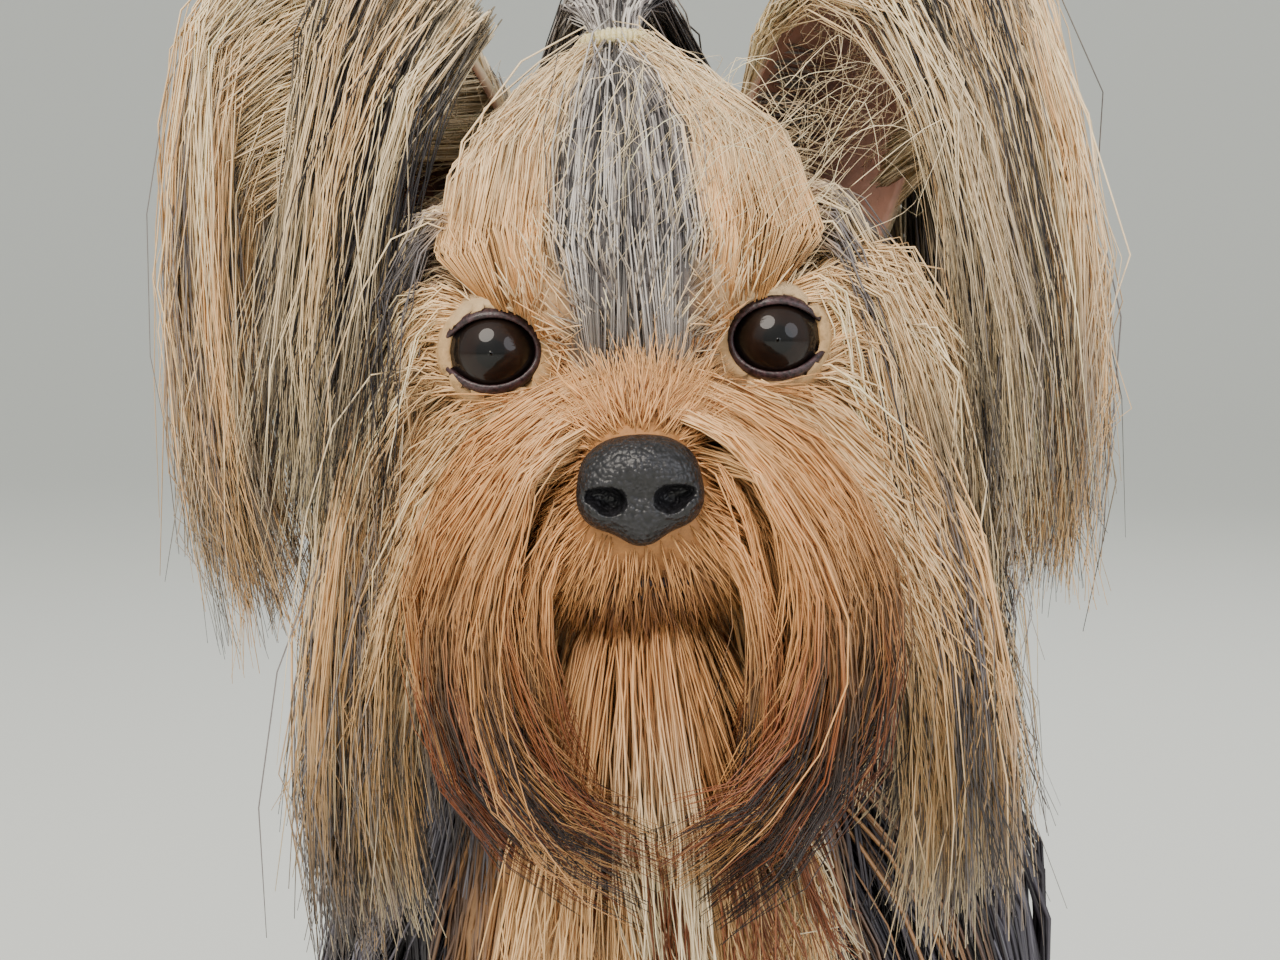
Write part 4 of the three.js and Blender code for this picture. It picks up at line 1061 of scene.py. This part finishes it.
beard = tress(
    41, 70, 26, beard_lines, rings=7, spread=0.05, clump=0.75, loose=1.5, wave=3.0, stray=4.0,
    lift=(0.4, 2.5), cut=0.5,
)
end = chosen(beard, 0.14, RUST, chosen(beard, 0.75, GOLD, CREAM * 0.95))
beard_colour = gradient(beard, (0.0, ORANGE), (0.2, LIGHT_ORANGE), (0.6, end), (1.0, end))
coat_piece("coat_beard", "coat_gold", (beard, beard_colour, 0.5))


# The hair of the face: from under and beside the eyes it sweeps out and back over the cheeks, and falls
# in front of the ears, golden by the eyes, cream further down and grey or black at many ends.
def cheek_lines(side, a, b, t):
    wide = 1.05 if side > 0 else 1.0
    rows = knots(
        side,
        (10 + 24 * a, -8 + 20 * a * a + 3 * b, -9 - 18 * b + 4 * a),
        ((22 + 21 * a) * wide, -3 + 13 * a, -14 - 18 * b),
        ((36 + 17 * a) * wide, 4 + 9 * a, -33 - 12 * b),
        ((44 + 13 * a) * wide, 9 + 6 * a, -58 - 6 * b),
        ((45 + 13 * a) * wide, 10 + 5 * a, -88 - 4 * b),
    )
    return combed(rows, t)


def temple_lines(side, a, b, t):
    up, out = (7, 6) if side > 0 else (0, 1)
    rows = knots(
        side,
        (29 + 4 * a, 14 * a, 12 - 20 * b),
        (36 + (out + 6) * a, 4 + 9 * a, 10 + up * a - 18 * b),
        (42 + (out + 9) * a, 8 + 9 * a, -7 + up * a - 15 * b),
        (46 + (out + 9) * a, 11 + 8 * a, -38 - 8 * b),
        (46 + (out + 10) * a, 12 + 7 * a, -76 - 8 * b),
    )
    return combed(rows, t)


def fall_lines(side, a, b, t):
    y = 13 + 34 * a
    rows = knots(
        side,
        (33, y, 16 - 42 * b),
        (43, y - 2, 2 - 40 * b),
        (54 - 6 * b, y - 5, -34 - 22 * b),
        (58 - 8 * b, y - 7, -72 - 4 * b),
        (56 - 8 * b, y - 8, -104 + 8 * a),
    )
    return combed(rows, t)


def skull_side_lines(side, a, b, t):
    rows = knots(
        side,
        (30, 2 + 30 * a, 26 - 16 * b),
        (36 + 2 * a, 5 + 28 * a, 24 - 16 * b),
        (43 + 3 * a, 8 + 26 * a, 8 - 16 * b),
        (48 + 4 * a, 10 + 24 * a, -24 - 12 * b),
    )
    return combed(rows, t)


for name, side in SIDES:
    cheek = tress(
        50 + side, 72, 22, partial(cheek_lines, side), spread=0.07, clump=0.72, loose=1.3, wave=2.4,
        stray=4.5, lift=(0.4, 3.6), cut=0.55,
    )
    end = chosen(cheek, 0.3, CHARCOAL, chosen(cheek, 0.5, GREY, GOLD))
    cheek_colour = gradient(
        cheek, (0.0, GOLD), (0.45, mixed(GOLD, CREAM, cheek["lock_other"] * 0.6)), (0.85, end)
    )
    temple = tress(
        60 + side, 56, 20, partial(temple_lines, side), rings=7, spread=0.08, clump=0.72, loose=1.6,
        wave=2.8, stray=5.0, lift=(0.5, 3.5), cut=0.6,
    )
    end = chosen(temple, 0.35, CHARCOAL, chosen(temple, 0.55, GREY, CREAM * 0.9))
    temple_colour = gradient(
        temple, (0.0, GOLD), (0.35, mixed(GOLD, CREAM, temple["lock_other"])), (0.75, end)
    )
    beside = tress(
        65 + side, 34, 20, partial(skull_side_lines, side), spread=0.09, clump=0.5, loose=1.6, wave=1.6,
        stray=3.0, lift=(0.5, 4.0), cut=0.6,
    )
    end = chosen(beside, 0.4, CHARCOAL, GOLD)
    beside_colour = gradient(beside, (0.0, GOLD), (0.35, chosen(beside, 0.4, GREY, CREAM)), (0.8, end))
    coat_piece(
        "coat_cheek_" + name, "coat_gold", (cheek, cheek_colour, 0.48), (temple, temple_colour, 0.46),
        (beside, beside_colour, 0.5),
    )
    fall = tress(
        70 + side, 66, 22, partial(fall_lines, side), spread=0.07, clump=0.65, loose=1.8, wave=3.0,
        stray=4.5, lift=(0.5, 3.5), cut=0.5,
    )
    end = chosen(fall, 0.45, CHARCOAL, chosen(fall, 0.8, GREY, CREAM * 0.7))
    fall_colour = gradient(
        fall, (0.0, GOLD), (0.5, chosen(fall, 0.3, GREY, GOLD * 1.05, "lock_other")), (1.0, end)
    )
    coat_piece("coat_fall_" + name, "coat_gold", (fall, fall_colour, 0.62))


# The short hair of the face: it covers the muzzle, the bridge of the nose, the brows and the skin round
# the eyes, and lies away from the nose and from the eyes. Longer hair covers the crown.
def drawn_to_skin(spots, steps):
    """The places moved along the way out of the skin until they lie on it."""
    for _ in range(steps):
        away, out = skin_near(spots)
        spots = spots - out * away[:, None]
    return spots


BARE_RIM = 9.2


def on_skin(seed, count, low, high, keep):
    """Places on the head's skin inside a box in the head's frame, where keep says so."""
    random = np.random.default_rng(seed)
    spots = np.array(low) + (np.array(high) - low) * random.random((count * 6, 3))
    spots = drawn_to_skin(on_head(spots), 5)
    h = to_head(spots)
    from_eye = np.where([True, False, False], np.abs(h), h) - EYE
    clear = np.linalg.norm(from_eye * [1, 0.6, 1.12], axis=-1) > BARE_RIM
    return spots[keep(h) & clear & (nose_shape(h) > 0.2)][:count]


def short_hair(seed, spots, lie, length, rings=4, loose=0.4, stand=0.35, pull=0.15):
    """Separate tufts at the given places of the skin."""
    random = np.random.default_rng(seed)
    count = len(spots)
    t = places_along(count, rings)
    size = np.reshape(length, -1) * (0.65 + 0.7 * random.random(count))
    lean = lie + 0.22 * random.normal(size=(count, 3))
    line = fallen(spots, lean, size, t, pull, stand)
    line[:, 1:] += (random.normal(size=(count, 1, 3)) * loose) * t[:, 1:, None]
    return tufts(random, line, t, np.arange(count), count)


spots = on_skin(81, 4400, (-24, -46, -46), (24, 6, 2), lambda h: (h[:, 1] < 0) & (h[:, 2] < 1))
h = to_head(spots)
from_nose = h - [0, -33, -17]
from_nose = from_nose * [1.3, 0.5, 1]
lie = from_nose / np.linalg.norm(from_nose, axis=-1, keepdims=True)
lie = lie + [0, 0.35, 0] + np.where(h[:, 2:] > -14, [0, 0.1, 0.15], [0, 0, -0.45])
muzzle_length = np.clip(2.5 + 0.35 * np.linalg.norm(h - [0, -38, -20], axis=-1), 4, 11)
muzzle_fur = short_hair(82, spots, lie @ HEAD_TURN.T, muzzle_length)
lip_dark = ramp(-h[:, 2], 29, 37) * (1 - ramp(-h[:, 2], 39, 43)) * (1 - ramp(np.abs(h[:, 0]), 9, 14))
muzzle_root = mixed(TAN, LIGHT_ORANGE, ramp(h[:, 2], -24, -8))
muzzle_root = mixed(muzzle_root, RUST * 0.7, lip_dark * 0.8)
bridge = ramp(h[:, 1], -26, -8) * (1 - ramp(np.abs(h[:, 0]), 5, 10)) * ramp(h[:, 2], -16, -6)
muzzle_root = mixed(muzzle_root, CREAM, bridge * 0.8)
muzzle_colour = gradient(muzzle_fur, (0.0, muzzle_root), (1.0, muzzle_root * 1.15))
coat_piece("coat_muzzle", "coat_tan", (muzzle_fur, muzzle_colour, 0.36))

spots = on_skin(
    83, 3900, (-38, -16, -34), (38, 34, 26),
    lambda h: (h[:, 1] < 32) & ((np.abs(h[:, 0]) > 6) | (h[:, 2] > -5)),
)
h = to_head(spots)
side = np.sign(h[:, :1])
from_eye = (h - EYE * np.concatenate([side, 0 * side + 1, 0 * side + 1], 1)) * [1, 0.7, 1]
lie = from_eye / np.linalg.norm(from_eye, axis=-1, keepdims=True) + side * [0.5, 0, 0] + [0, 0.5, 0]
between = (np.abs(h[:, :1]) < 12) & (h[:, 2:] > -6)
lie = np.where(between, h * [0.05, 0, 0] + [0, 0.2, 1], lie)
face_fur = short_hair(84, spots, lie @ HEAD_TURN.T, 6.5)
face_colour = gradient(face_fur, (0.0, markings(spots)), (1.0, mixed(markings(spots), CREAM, 0.35)))

spots = on_skin(85, 800, (-37, 20, -10), (37, 62, 48), lambda h: (h[:, 1] > 24) & (h[:, 2] > 0))
h = to_head(spots)
lie = h * [0.02, 0, 0] + [0, 0.9, -0.4]
crown_fur = short_hair(86, spots, lie @ HEAD_TURN.T, 17)
crown_colour = gradient(crown_fur, (0.0, markings(spots)), (1.0, mixed(markings(spots), GREY, 0.4)))
coat_piece("coat_face", "coat_gold", (face_fur, face_colour, 0.42), (crown_fur, crown_colour, 1.1))


# The hair of the ears: long fringes from both rims, the outer ones straight down beside the face and the
# inner ones over the front of the cup, fine pale hairs inside it and a curtain of longer hair behind.
def from_ear(side, u, t, *points):
    """Rows of knots as above, but with the first on the ear, where u is 0 at its inner rim."""
    return np.concatenate([on_head(ear_at(side, 1 - u, t))[:, None], knots(side, *points)], 1)


def outer_fringe(side, a, b, t):
    high = 0.02 + 0.93 * a
    rows = from_ear(
        side,
        0.82 + 0.18 * b,
        high,
        (61 + 7 * a + 5 * b, 38 - 4 * a - 4 * b, 30 + 36 * a),
        (69 + 7 * a + 4 * b, 34 - 4 * a - 6 * b, 2 + 34 * a),
        (70 + 8 * a + 2 * b, 31 - 4 * a - 6 * b, -22 + 20 * a),
        (66 + 8 * a, 28 - 4 * a - 6 * b, -48 + 12 * a),
    )
    return smooth_line(rows, t)


def inner_fringe(side, a, b, t):
    open_side = side > 0
    high = 0.08 + 0.87 * a
    if open_side:
        path = (
            (28 + 22 * a, 26 - 5 * b, 57 + 24 * a),
            (46 + 14 * a + 3 * b, 17 + 4 * a, 54 + 10 * a),
            (58 + 10 * a + 3 * b, 14 + 6 * a, 14 + 10 * a),
            (61 + 9 * a + 3 * b, 14 + 6 * a, -34 + 8 * a),
        )
    else:
        path = (
            (22 + 22 * a, 22 - 6 * b, 56 + 22 * a),
            (36 + 15 * a + 3 * b, 13 + 5 * a, 40 + 14 * a),
            (46 + 12 * a + 3 * b, 12 + 6 * a, 8 + 8 * a),
            (54 + 7 * a + 2 * b, 13 + 6 * a, -32 + 6 * a),
        )
    return smooth_line(from_ear(side, 0.02 + 0.16 * b, high, *path), t)


def back_curtain(side, a, b, t):
    rows = from_ear(
        side,
        0.15 + 0.7 * a,
        0.04 + 0.8 * b,
        (40 + 20 * a + 6 * b, 60 - 6 * a, 28 + 36 * b),
        (46 + 20 * a + 4 * b, 63 - 10 * a, 2 + 24 * b),
        (46 + 22 * a, 60 - 12 * a, -36 + 16 * b),
    )
    return smooth_line(rows, t)


def inner_hairs(side, a, b, t):
    rows = from_ear(
        side,
        0.12 + 0.76 * a,
        0.02 + 0.6 * b,
        (30 + 22 * a, 30 - 6 * b, 30 + 30 * b),
        (30 + 28 * a, 22 - 4 * b, 40 + 34 * b),
    )
    return smooth_line(rows, t)


def ear_back_lines(side, a, b, t):
    u, high = 0.02 + 0.96 * a, -0.04 + 0.98 * b
    here = ear_at(side, u, high)
    across, up = ear_at(side, u + 0.02, high) - here, ear_at(side, u, high + 0.02) - here
    out = np.cross(across, up)
    out /= np.linalg.norm(out, axis=-1, keepdims=True)
    out = out * np.sign((out * [-0.42 * side, 0.9, 0]).sum(-1, keepdims=True))
    spots = [here + out * 0.4]
    for rise, proud in ((0.09, 1.6), (0.16, 2.2)):
        spots.append(ear_at(side, u, np.minimum(high + rise, 0.99)) + out * proud)
    return smooth_line(on_head(np.stack(spots, 1)), t)


for name, side in SIDES:
    outer = tress(
        90 + side, 60, 21, partial(outer_fringe, side), rings=7, spread=0.07, clump=0.75, loose=1.6,
        wave=3.4, stray=4.6, lift=(0.4, 1), cut=0.5,
    )
    end = chosen(outer, 0.35, CHARCOAL, chosen(outer, 0.5, GREY, GOLD))
    middle = chosen(outer, 0.22, GREY, mixed(CREAM, GOLD, outer["lock"]), "lock_other")
    outer_colour = gradient(outer, (0.0, CREAM), (0.5, middle), (1.0, end))
    inner = tress(
        100 + side, 50, 19, partial(inner_fringe, side), rings=7, spread=0.07, clump=0.75, loose=1.7,
        wave=3.2, stray=4.4, lift=(0.4, 1), cut=0.5,
    )
    dark = 0.4 if side < 0 else 0.25
    end = chosen(inner, dark, CHARCOAL, chosen(inner, 0.5, GREY, CREAM))
    middle = chosen(inner, dark, CHARCOAL, mixed(CREAM, GOLD, inner["lock"] * 0.8), "lock_other")
    inner_colour = gradient(inner, (0.0, CREAM), (0.45, middle), (1.0, end))
    curtain = tress(
        110 + side, 24, 18, partial(back_curtain, side), spread=0.12, clump=0.5, loose=2.0, wave=2.0,
        stray=2.5, lift=(0.4, 1), cut=0.4,
    )
    curtain_colour = gradient(
        curtain, (0.0, GREY), (0.6, mixed(CREAM, STEEL, curtain["lock"])), (1.0, CHARCOAL)
    )
    fine = tress(
        120 + side, 42, 4, partial(inner_hairs, side), rings=7, spread=0.14, clump=0.1, loose=4.5,
        wave=3.5, lift=(0.1, 0.5), cut=0.8,
    )
    fine_colour = gradient(fine, (0.0, mixed(CREAM, PINK_SKIN, 0.3)), (1.0, CREAM))
    back = tress(
        125 + side, 80, 7, partial(ear_back_lines, side), rings=4, spread=0.05, clump=0.3, loose=0.5,
        wave=0.2, lift=(0, 0.1), cut=0.4,
    )
    back_colour = gradient(
        back, (0.0, mixed(CREAM, GREY, back["lock"] * 0.8)), (1.0, chosen(back, 0.4, GREY, CREAM))
    )
    fringes = ((outer, outer_colour, 0.48), (inner, inner_colour, 0.46), (curtain, curtain_colour, 0.9))
    short = ((fine, fine_colour, 0.18), (back, back_colour, 1.0))
    coat_piece("coat_ear_" + name, "coat_gold", *fringes, *short)


# The topknot: the gathered hair runs through the band in a stem, fans out and falls back over the nape,
# silver at the band and dark further on.
def topknot_lines(a, b, t):
    x = 2 * a - 1
    rows = knots(
        1,
        (3.2 * x - 1, 25 + 4 * b, 47),
        (3.4 * x - 1, 27.5 + 2 * b, 53),
        (8 * x - 1, 38 - 4 * b, 60 - 2 * x * x + 2 * b),
        (15 * x, 54, 55 - 7 * x * x - 4 * b),
        (21 * x, 72, 34 - 4 * b),
        (24 * x, 82 - 3 * b, 0),
    )
    return smooth_line(rows, t)


topknot = tress(
    131, 38, 20, topknot_lines, rings=8, spread=0.06, clump=0.5, loose=1.3, wave=1.3, stray=1.5,
    lift=(0.5, 3.0), cut=0.4,
)
top_tone = chosen(topknot, 0.4, CHARCOAL, chosen(topknot, 0.6, GREY, SILVER, "own"))
topknot_colour = gradient(topknot, (0.0, SILVER), (0.35, top_tone), (1.0, STEEL))
topknot_coat = coat_piece("coat_topknot", "coat_silver", (topknot, topknot_colour, 0.6))
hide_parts("topknot")


# The coat of the body: dark steel with silver-grey strands, long and slightly waved, parted along the
# spine and hanging down each side; shorter on neck and rump, and tan on the chest and the legs.
def over_skin(seed, count, low, high, keep):
    """Places on the skin inside a box in the dog's frame, where keep says so."""
    random = np.random.default_rng(seed)
    spots = np.array(low) + (np.array(high) - low) * random.random((count * 8, 3))
    spots = drawn_to_skin(spots, 6)
    away, out = skin_near(spots)
    return spots[keep(spots, out) & (np.abs(away) < 1)][:count]


def pelt(
    seed, spots, locks, lie, length, rings=6, pull=0.5, stand=0.3, clump=0.6, loose=1.5, wave=1.5,
    lift=(0.5, 6.0), full=None,
):
    """Tufts from places on the skin, in locks. lie, length and full are functions of the places."""
    random = np.random.default_rng(seed)
    spots = random.permutation(spots)
    count = len(spots)
    middle = spots[:locks]
    gap = ((spots[:, None] - middle[None]) ** 2).sum(-1)
    lock = gap.argmin(1)
    t = places_along(count, rings)
    vary = (0.85 + 0.3 * random.random(locks))[lock] * (0.8 + 0.25 * random.random(count))
    own = fallen(spots, lie(spots), length(spots) * vary, t, pull, stand)
    core = fallen(middle, lie(middle), length(middle), t[:locks], pull, stand)[lock]
    close = (clump * ramp(t, 0.1, 0.95))[..., None]
    line = own * (1 - close) + core * close
    line += (random.normal(size=(count, 3)) * loose)[:, None] * t[..., None]
    phase = (random.random(locks)[lock] + 0.1 * random.normal(size=count)) * 2 * math.pi
    turns = (1.4 + 1.2 * random.random(locks))[lock]
    swing = np.sin(turns[:, None] * 2 * math.pi * t + phase[:, None]) * np.minimum(1, 2 * t) * wave
    sway = random.normal(size=(locks, 3))[lock] + 0.3 * random.normal(size=(count, 3))
    line += sway[:, None] * swing[..., None]
    high = (lift[0] + (lift[1] - lift[0]) * random.random(locks)[lock])[:, None]
    if full is not None:
        high = high * full(line[:, :1])
    line = raised(line, high * ramp(t, 0, 0.4), smooth=True)
    line[..., 2] = np.maximum(line[..., 2], 1.0)
    return tufts(random, line, t, lock, locks)


def steel_tones(hairs):
    """Steel with silver-grey tufts, from the markings at the roots."""
    root = markings(hairs["line"][:, 0])
    tip = chosen(hairs, 0.3, PALE_STEEL * 0.8, chosen(hairs, 0.5, CHARCOAL, STEEL, "lock_other"))
    steel = 1 - ramp(np.abs(root - STEEL).sum(-1), 0.02, 0.2)
    tip = np.where(steel[:, None] > 0.5, tip, root * 1.1)
    return gradient(hairs, (0.0, root), (0.5, mixed(root, tip, 0.7)), (1.0, tip))


def flank_lie(p):
    side = np.sign(p[:, :1] + 1e-9)
    top = ramp(p[:, 2:], 176, 200)
    backwards = 0.3 + 0.5 * ramp(p[:, 1:2], 110, 150)
    return side * [1.0, 0, 0] * (0.35 + top) + [0, 1, 0] * backwards + [0, 0, -1] * (1 - top)


def flank_length(p):
    return 74 + 50 * ramp(p[:, 2], 110, 195) - 22 * ramp(p[:, 1], 115, 160)


def fore_fullness(p):
    return (0.7 + 0.6 * ramp(p[..., 2], 110, 180)) * (1 - 0.6 * ramp(p[..., 2], 178, 196))


def hind_fullness(p):
    return 1.2 - 0.8 * ramp(p[..., 2], 178, 196)


def on_flank(side, p, out):
    behind_head = (to_head(p)[:, 1] > 52) & (p[:, 1] > -48)
    return (p[:, 0] * side > 0) & behind_head & (out[:, 2] > -0.55)


def on_spine(side, p, out):
    return (p[:, 0] * side > -1) & (out[:, 2] > 0.6) & (to_head(p)[:, 1] > 52)


def on_neck(p, out):
    h = to_head(p)
    near = (neck_shape(p) < 8) | (h[:, 1] > 40)
    behind_face = (h[:, 2] < 40) & ((h[:, 1] > 34) | (h[:, 2] < -44))
    return (np.linalg.norm(p - NAPE, axis=1) > 12) & near & behind_face


for name, side in SIDES:
    spots = over_skin(141 + side, 3100, (-60, -60, 96), (60, 170, 215), partial(on_flank, side))
    front = spots[:, 1] < 35
    fore = pelt(
        151 + side, spots[front], 90, flank_lie, flank_length, rings=7, pull=0.6, clump=0.6, loose=2.4,
        wave=3.0, lift=(8, 19), full=fore_fullness,
    )
    hind = pelt(
        155 + side, spots[~front][:1250], 90, flank_lie, flank_length, pull=0.85, clump=0.62, loose=2.2,
        wave=2.2, lift=(1, 16), full=hind_fullness,
    )
    spots = over_skin(159 + side, 420, (-16, -40, 180), (16, 165, 225), partial(on_spine, side))
    spine = pelt(
        169 + side, spots, 60, flank_lie, lambda p: 52, rings=5, pull=0.6, clump=0.4, loose=1.0, wave=1.0,
        lift=(0.6, 4),
    )
    coat_piece(
        "coat_flank_" + name, "coat_steel", (fore, steel_tones(fore), 1.0),
        (hind, steel_tones(hind), 1.9), (spine, steel_tones(spine), 2.0),
    )

spots = over_skin(161, 1700, (-50, -100, 150), (60, 20, 285), on_neck)
neck_hair = pelt(
    162, spots, 130, lambda p: (p - [4, -30, 0]) * [0.02, 0.02, 0] + [0, 0.1, -1], lambda p: 46, pull=0.3,
    clump=0.55, wave=1.8, lift=(1, 9),
)
spots = over_skin(163, 1350, (-50, -75, 100), (50, -20, 205), lambda p, out: out[:, 1] < -0.2)
chest_hair = pelt(
    164, spots, 110, lambda p: p * [0.01, 0, 0] + [0, -0.2, -1], lambda p: 60, pull=0.6, clump=0.6,
    wave=1.5, lift=(1, 9),
)
coat_piece(
    "coat_neck", "coat_steel", (neck_hair, steel_tones(neck_hair), 1.1),
    (chest_hair, steel_tones(chest_hair), 1.3),
)

spots = over_skin(165, 1150, (-50, 120, 100), (50, 185, 205), lambda p, out: out[:, 1] > 0.3)
rump_hair = pelt(
    166, spots, 60, lambda p: p * [0.02, 0, 0] + [0, 0.5, -1], lambda p: 84, rings=5, pull=0.7, clump=0.6,
    wave=1.6, lift=(1, 8),
)
spots = over_skin(167, 1100, (-14, 152, 170), (14, 226, 222), lambda p, out: p[:, 1] > 158)
tail_hair = pelt(
    168, spots, 40, lambda p: (p - [0, 0, 204]) * [0.12, 0, 0.02] + [0, 0.7, 0],
    lambda p: 52 - 14 * ramp(p[:, 1], 160, 226), rings=5, pull=0.55, clump=0.6, wave=1.2, lift=(0.5, 3),
)
coat_piece(
    "coat_rear", "coat_steel", (rump_hair, steel_tones(rump_hair), 2.0),
    (tail_hair, steel_tones(tail_hair), 1.3),
)


# The hair of the legs and paws: a shorter fringe down the legs, tan as on the chest, and short close
# hair over the toes down to the claws.
def on_legs(p, out):
    return (p[:, 2] > 20) & (leg_shape(p) < 2)


def on_paws(p, out):
    return (p[:, 2] < 30) & (p[:, 2] > 2.5) & (out[:, 2] > -0.4)


spots = over_skin(171, 2300, (-60, -60, 18), (60, 165, 118), on_legs)
leg_hair = pelt(
    172, spots, 260, lambda p: np.array([0, 0.25, -1]), lambda p: 18 + 16 * ramp(p[:, 2], 30, 70),
    rings=4, pull=0.25, clump=0.5, loose=0.9, wave=0.8, lift=(0.3, 3),
)
spots = over_skin(173, 2000, (-60, -66, 0), (60, 160, 34), on_paws)
paw_hair = pelt(
    174, spots, 500, lambda p: np.array([0, -0.9, -0.45]), lambda p: 6.5, rings=3, pull=0.1, stand=0.35,
    clump=0.3, loose=0.3, wave=0.1, lift=(0.2, 1.0),
)
leg_colour = gradient(leg_hair, (0.0, markings(leg_hair["line"][:, 0])), (1.0, GOLD))
paw_colour = gradient(paw_hair, (0.0, markings(paw_hair["line"][:, 0])), (1.0, GOLD))
coat_piece("coat_legs", "coat_tan", (leg_hair, leg_colour, 1.15), (paw_hair, paw_colour, 0.8))


# The floor and the light: a plain pale floor that curves up behind the dog, a broad soft studio light from
# above and in front, and a weaker one from the side and from behind to bring out the edge of the coat.
rise = np.radians(np.linspace(0, 90, 25))
bend = np.concatenate(
    [[[-6, 0]], np.stack([2.5 + 2 * np.sin(rise), 2 - 2 * np.cos(rise)], 1), [[4.5, 9]]]
)
edges = [(x, y, z) for y, z in bend for x in (-14, 14)]
floor_mesh = bpy.data.meshes.new("floor")
floor_mesh.from_pydata(
    edges, [], [(2 * i, 2 * i + 1, 2 * i + 3, 2 * i + 2) for i in range(len(bend) - 1)]
)
floor_mesh.shade_smooth()
floor = new_object("floor", floor_mesh)
floor_finish, tree, shader = new_material("matt pale floor")
plug(tree, shader, Base_Color=(*to_linear("dfe0da"), 1), Roughness=0.9)
floor_mesh.materials.append(floor_finish)

world = bpy.data.worlds.new("studio")
bpy.context.scene.world = world
world.use_nodes = True
world.node_tree.nodes["Background"].inputs["Color"].default_value = (*to_linear("dfe3e2"), 1)
world.node_tree.nodes["Background"].inputs["Strength"].default_value = 0.9

for name, place, size, power, colour in (
    ("key_light", (-0.4, -1.6, 1.7), 1.4, 60, "fff6ea"),
    ("side_light", (1.5, -1.1, 0.9), 1.2, 13, "f3f5ff"),
    ("back_light", (0.2, 1.5, 1.6), 1.2, 16, "ffffff"),
):
    lamp = bpy.data.lights.new(name, "AREA")
    lamp.shape = "DISK"
    lamp.size = size
    lamp.energy = power
    lamp.color = tuple(to_linear(colour))
    made = new_object(name, lamp)
    made.location = place
    to_dog = Vector((0, -0.1, 0.22)) - Vector(place)
    made.rotation_euler = to_dog.to_track_quat("-Z", "Y").to_euler()
